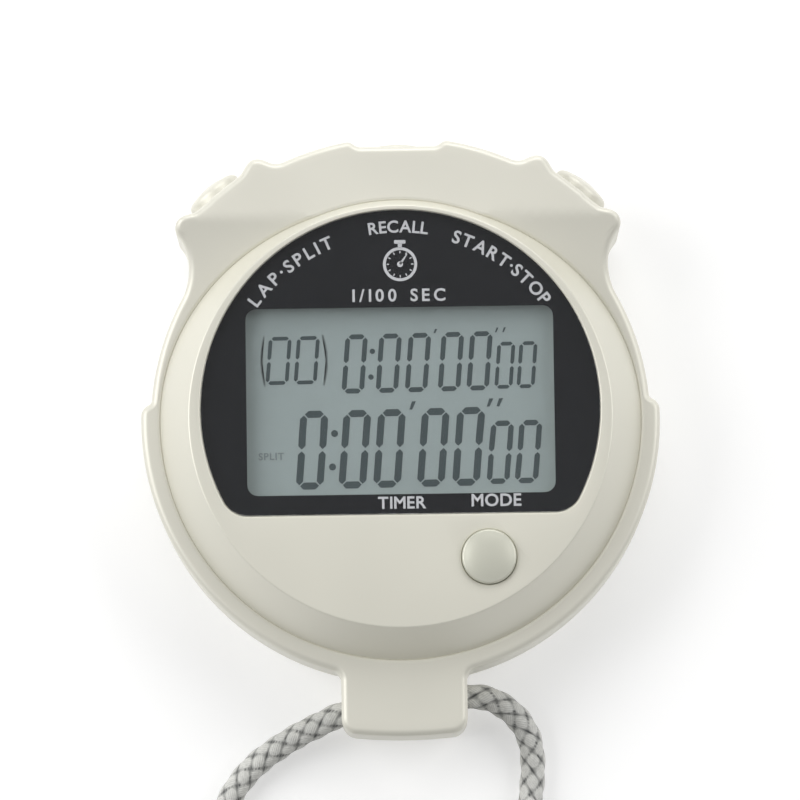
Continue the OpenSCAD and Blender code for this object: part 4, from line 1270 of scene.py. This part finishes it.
SEGMENT_T = 0.02
SEGMENT_GAP = 0.22
SEGMENT_LEVELS = [(-SEGMENT_T / 2, 0), (SEGMENT_T / 2, 0)]
LEAN = math.tan(math.radians(5.5))
# each row: centres of its digits along X, height of the row, and width, height, stroke of a digit
DIGIT_ROWS = [
    ((-10.97, -5.73, -1.47, 3.91, 8.23), -5.64, 3.4, 9.6, 0.86),
    ((12.09, 15.54), -6.46, 2.8, 7.7, 0.66),
    ((-5.47, -1.31, 2.28, 6.31, 9.81), 4.81, 2.75, 7.25, 0.6),
    ((12.89, 15.6), 4.19, 2.2, 5.75, 0.46),
    ((-14.76, -11.31), 5.4, 2.8, 5.9, 0.46),
]
# each dot of a colon: its place and radius
COLON_DOTS = [(-8.17, -3.66, 0.43), (-8.52, -7.75, 0.43), (-3.27, 6.31, 0.33), (-3.52, 3.16, 0.33)]
# each minute or second mark: its place, length and width
MARKS = [
    (1.5, -0.45, 1.0, 0.5), (10.95, -0.35, 1.0, 0.5), (12.15, -0.35, 1.0, 0.5),
    (4.5, 8.62, 0.5, 0.3), (12.0, 8.55, 0.6, 0.25), (12.9, 8.55, 0.6, 0.25),
]


def slanted_mark(x, y, length, width):
    """A short stroke that marks minutes or seconds."""
    lean = LEAN * 3.5 * length / 2
    low, high = y - length / 2, y + length / 2
    outline = [
        (x - width / 2 - lean, low), (x + width * 0.2 - lean, low),
        (x + width / 2 + lean, high), (x - width / 2 + lean, high),
    ]
    return prism("mark", outline, SEGMENT_LEVELS)


def dot(x, y, r):
    return prism("dot", arc((x, y), r, 0, 360, 21)[:-1], SEGMENT_LEVELS)


def bracket(x, y, height, bulge, width):
    """A thin upright arc; a bulge below zero bows to the left."""
    r = (height**2 / 4 + bulge**2) / (2 * abs(bulge))
    half = math.degrees(math.asin(height / 2 / r))
    side = 0 if bulge > 0 else 180
    outline = sector(r - width / 2, r + width / 2, 2 * half, side, 16)
    made = prism("bracket", outline, SEGMENT_LEVELS)
    made.data.transform(Matrix.Translation((x - math.copysign(r, bulge), y, 0)))
    return made


def display_place():
    """Place of a drawing centred on the display glass, turned with it, on its top."""
    middle = (GLASS_LOW + GLASS_HIGH) / 2
    top = Matrix.Translation((middle.x, middle.y, GLASS_HIGH.z + SEGMENT_T))
    return top @ Matrix.Rotation(math.radians(LCD_TURN), 4, "Z")


def display_segments():
    """Both rows of digits, colons, minute and second marks, and the count in brackets."""
    parts = []
    for centres, y, width, height, stroke in DIGIT_ROWS:
        values = {
            "Width": width, "Height": height, "Stroke": stroke, "Gap": SEGMENT_GAP, "Lean": LEAN,
            "Thickness": SEGMENT_T, "Material": LCD_INK,
        }
        parts.append(run_tree("row", DIGITS, [(x, y) for x in centres], values))
    parts += [dot(*spot) for spot in COLON_DOTS]
    parts += [slanted_mark(*mark) for mark in MARKS]
    made = merged("display_segments", parts)
    made.data.transform(display_place())
    return finish_piece(made, LCD_INK, "case")


def faint_segments():
    """Brackets round the count and the small word at the side, which the display draws thinly."""
    parts = [bracket(-16.95, 5.35, 6.2, -0.45, 0.13), bracket(-8.8, 5.35, 6.2, 0.5, 0.16)]
    for letter in lettering("SPLIT", 0.85, 3.1, lambda along: Matrix.Translation((along, 0, 0)), SEGMENT_T):
        letter.data.transform(Matrix.Translation((-15.92, -6.75, -SEGMENT_T / 2)))
        parts.append(letter)
    made = merged("faint_segments", parts)
    made.data.transform(display_place())
    return finish_piece(made, LCD_FAINT, "case")


# ---- buttons and screws ----


def push_button(kind, angle, face_s, cap_r, proud, travel):
    """Turned cap with a low crown, a soft edge, a hollow for its spring, and its stem."""
    soft = proud * 0.5
    crown = proud * CROWN_SHARE
    edge_s = face_s + proud - crown
    dome_r = (cap_r**2 + crown**2) / (2 * crown)
    peak = face_s + proud
    reach = cap_r - soft
    profile = [(0, peak)]
    for r in np.linspace(0, reach, 10)[1:]:
        profile.append((r, peak - dome_r + math.sqrt(dome_r**2 - r**2)))
    start_s = profile[-1][1]
    for a in turns(7)[1:]:
        profile.append((reach + soft * math.sin(a), start_s - (start_s - edge_s + 0.35) * (1 - math.cos(a))))
    skirt_s = GUIDE_S + travel + 0.2
    hollow_s = edge_s - CAP_WALL
    profile += [
        (cap_r, skirt_s), (cap_r - CAP_SKIN, skirt_s), (cap_r - CAP_SKIN, hollow_s),
        (STEM_R, hollow_s), (STEM_R, TIP_S + 0.15), (STEM_R - 0.15, TIP_S), (0, TIP_S),
    ]
    made = lathe(f"{kind}_turned_cap", profile, 128, on_axis(angle))
    return finish_piece(made, SILVER, f"{kind}_button", [f"{kind}_cap"])


def mode_button():
    """Low round button in the face, with a flange under it and a plunger."""
    soft = 0.28
    crown = 0.5
    peak = MODE_HIGH.z
    dome_r = (MODE_R**2 + crown**2) / (2 * crown)
    reach = MODE_R - soft
    profile = [(0, peak)]
    for r in np.linspace(0, reach, 10)[1:]:
        profile.append((r, peak - dome_r + math.sqrt(dome_r**2 - r**2)))
    start = profile[-1][1]
    for a in turns(7)[1:]:
        profile.append((reach + soft * math.sin(a), start - (soft + 0.1) * (1 - math.cos(a))))
    flange = FACE_UNDER_Z - 0.01
    profile += [
        (MODE_R, flange), (MODE_R + 0.7, flange), (MODE_R + 0.7, flange - 0.8), (STEM_R, flange - 0.8),
        (STEM_R, MODE_LOW.z), (0, MODE_LOW.z),
    ]
    made = lathe("mode_button_turned", profile, 128, Matrix.Translation((*MODE_PLACE, 0)))
    return finish_piece(made, SILVER_BUTTON, "mode_button", ["mode_cap"])


def build_screws(nodes, given):
    """A cross-slotted screw with a low round head, head down, on every point."""

    def column(r, height, middle, segments, fills):
        made = nodes.new(
            "GeometryNodeMeshCylinder",
            {"Vertices": segments, "Fill Segments": fills, "Radius": r, "Depth": height},
            fill_type="TRIANGLE_FAN",
        )
        place = nodes.new("ShaderNodeCombineXYZ", {"Z": middle})
        return nodes.new("GeometryNodeTransform", {"Geometry": made, "Translation": place})

    head_t = given["Head Height"]
    head = column(given["Head Radius"], head_t, nodes.math("MULTIPLY", head_t, 0.5), 48, 8)
    position = nodes.new("GeometryNodeInputPosition")
    parts = nodes.new("ShaderNodeSeparateXYZ", {0: position})
    flat = nodes.new("ShaderNodeCombineXYZ", {"X": parts.outputs["X"], "Y": parts.outputs["Y"]})
    out = nodes.new("ShaderNodeVectorMath", {0: flat}, operation="LENGTH").outputs["Value"]
    share = nodes.math("DIVIDE", out, given["Head Radius"])
    low_side = nodes.math("LESS_THAN", parts.outputs["Z"], nodes.math("MULTIPLY", head_t, 0.5))
    drop = nodes.math("MULTIPLY", nodes.math("POWER", share, 5.0), given["Crown"])
    lift = nodes.new("ShaderNodeCombineXYZ", {"Z": nodes.math("MULTIPLY", drop, low_side)})
    crowned = nodes.new("GeometryNodeSetPosition", {"Geometry": head, "Offset": lift})
    length = given["Shank Length"]
    overlap = 0.1
    middle = nodes.math("ADD", head_t, nodes.math("MULTIPLY_ADD", length, 0.5, -overlap))
    shank = column(given["Shank Radius"], length, middle, 24, 1)
    solid = nodes.new("GeometryNodeMeshBoolean", operation="UNION", solver="EXACT")
    nodes.feed(solid.inputs["Mesh 2"], crowned)
    nodes.feed(solid.inputs["Mesh 2"], shank)
    cross = nodes.new("GeometryNodeMeshBoolean", {"Mesh 1": solid}, operation="DIFFERENCE", solver="EXACT")
    depth = nodes.math("MULTIPLY", given["Slot Depth"], 2.0)
    long_side = nodes.math("MULTIPLY", given["Head Radius"], 1.15)
    for x, y in ((long_side, given["Slot Width"]), (given["Slot Width"], long_side)):
        size = nodes.new("ShaderNodeCombineXYZ", {"X": x, "Y": y, "Z": depth})
        nodes.feed(cross.inputs["Mesh 2"], nodes.new("GeometryNodeMeshCube", {"Size": size}))
    screw = nodes.new("GeometryNodeInstanceOnPoints", {"Points": given["Geometry"], "Instance": cross})
    turn = nodes.new(
        "FunctionNodeRandomValue",
        {"Min": (0, 0, 0), "Max": (0, 0, math.pi), "Seed": given["Seed"]},
        data_type="FLOAT_VECTOR",
    )
    nodes.feed(screw.inputs["Rotation"], turn.outputs[0])
    real = nodes.new("GeometryNodeRealizeInstances", {"Geometry": screw})
    return nodes.new("GeometryNodeSetMaterial", {"Geometry": real, "Material": given["Material"]})


SCREWS = geometry_tree(
    "cross_slot_screws",
    [
        ("Head Radius", FLOAT), ("Head Height", FLOAT), ("Crown", FLOAT),
        ("Shank Radius", FLOAT), ("Shank Length", FLOAT), ("Slot Width", FLOAT),
        ("Slot Depth", FLOAT), ("Seed", "NodeSocketInt"), ("Material", "NodeSocketMaterial"),
    ],
    build_screws,
)


def case_screws():
    """Four screws through the rear case, each left at its own turn."""
    values = {
        "Head Radius": SCREW_HEAD_R, "Head Height": SCREW_HEAD_T, "Crown": 0.35,
        "Shank Radius": SCREW_R, "Shank Length": SCREWS_HIGH.z - SCREWS_LOW.z - SCREW_HEAD_T + 0.1,
        "Slot Width": 0.44, "Slot Depth": 0.6, "Seed": 4, "Material": STEEL,
    }
    points = [(x, y, SCREWS_LOW.z) for x, y in SCREW_PLACES]
    made = run_tree("cross_slot_case_screws", SCREWS, points, values)
    return finish_piece(made, STEEL, "case", ["case_screws"])


# ---- stage ----


def softbox(name, place, size, energy):
    """A white oblong light that looks at the middle of the case."""
    data = bpy.data.lights.new(name, "AREA")
    data.shape = "RECTANGLE"
    data.size, data.size_y = size
    data.energy = energy
    light = bpy.data.objects.new(name, data)
    light.location = place
    light.rotation_euler = (-Vector(place)).to_track_quat("-Z", "Y").to_euler()
    bpy.context.scene.collection.objects.link(light)


def floor():
    """Plain pale floor that is clear from below, so that the back can be seen too."""
    mesh = bpy.data.meshes.new("floor")
    half, drop = 3.0, -0.05 * MM
    corners = [(-half, -half, drop), (half, -half, drop), (half, half, drop), (-half, half, drop)]
    mesh.from_pydata(corners, [], [(0, 1, 2, 3)])
    made = bpy.data.objects.new("floor", mesh)
    bpy.context.scene.collection.objects.link(made)
    material = bpy.data.materials.new("pale_floor")
    material.use_nodes = True
    tree = material.node_tree
    nodes = Nodes(tree)
    shader = tree.nodes["Principled BSDF"]
    shader.inputs["Base Color"].default_value = (0.68, 0.68, 0.68, 1)
    shader.inputs["Roughness"].default_value = 0.9
    shader.inputs["Emission Color"].default_value = (1, 1, 1, 1)
    shader.inputs["Emission Strength"].default_value = 0.38
    clear = nodes.new("ShaderNodeBsdfTransparent")
    behind = nodes.new("ShaderNodeNewGeometry").outputs["Backfacing"]
    mixed = nodes.new("ShaderNodeMixShader", {0: behind, 1: shader, 2: clear})
    nodes.feed(tree.nodes["Material Output"].inputs["Surface"], mixed.outputs[0])
    mesh.materials.append(material)


def camera():
    """Long lens, nearly straight down on the face, with a slight roll."""
    data = bpy.data.cameras.new("camera")
    data.sensor_width = 36
    data.lens = 300
    view_mm = 99.5
    distance = view_mm * data.lens / data.sensor_width
    elevation = math.radians(84)
    aim = Vector((-0.04, 3.17, 6.0))
    back = Vector((0, -math.cos(elevation), math.sin(elevation)))
    made = bpy.data.objects.new("camera", data)
    look = (-back).to_track_quat("-Z", "Y").to_matrix().to_4x4()
    roll = Matrix.Rotation(math.radians(-0.8), 4, "Z")
    made.matrix_world = Matrix.Translation((aim + back * distance) * MM) @ look @ roll
    data.clip_start, data.clip_end = 0.01, 20
    bpy.context.scene.collection.objects.link(made)
    bpy.context.scene.camera = made


def light_stage():
    """Pale light all round, and soft lights from the left, the right and the top."""
    world = bpy.data.worlds.new("studio")
    bpy.context.scene.world = world
    world.use_nodes = True
    world.node_tree.nodes["Background"].inputs["Color"].default_value = (1, 1, 1, 1)
    world.node_tree.nodes["Background"].inputs["Strength"].default_value = 0.3
    softbox("left_softbox", (-0.55, 0.1, 0.45), (0.5, 0.6), 3.2)
    softbox("right_softbox", (0.55, 0.15, 0.45), (0.4, 0.5), 1.7)
    softbox("top_softbox", (0.05, 0.6, 0.4), (0.6, 0.4), 2.4)
    bpy.context.scene.view_settings.view_transform = "Standard"


camera()
make_cord()
dress_nodes()
front_case()
rear_case()
hatch_cover()
face_ring()
clear_window()
window_print()
window_legends()
display_segments()
faint_segments()
push_button("start_stop", HORN_ANGLE, HORN_S, SIDE_CAP_R, SIDE_PROUD, SIDE_TRAVEL)
push_button("lap_split", -HORN_ANGLE, HORN_S, SIDE_CAP_R, SIDE_PROUD, SIDE_TRAVEL)
push_button("recall", 0.0, NOTCH_S, TOP_CAP_R, TOP_PROUD, TOP_TRAVEL)
mode_button()
case_screws()
floor()
light_stage()
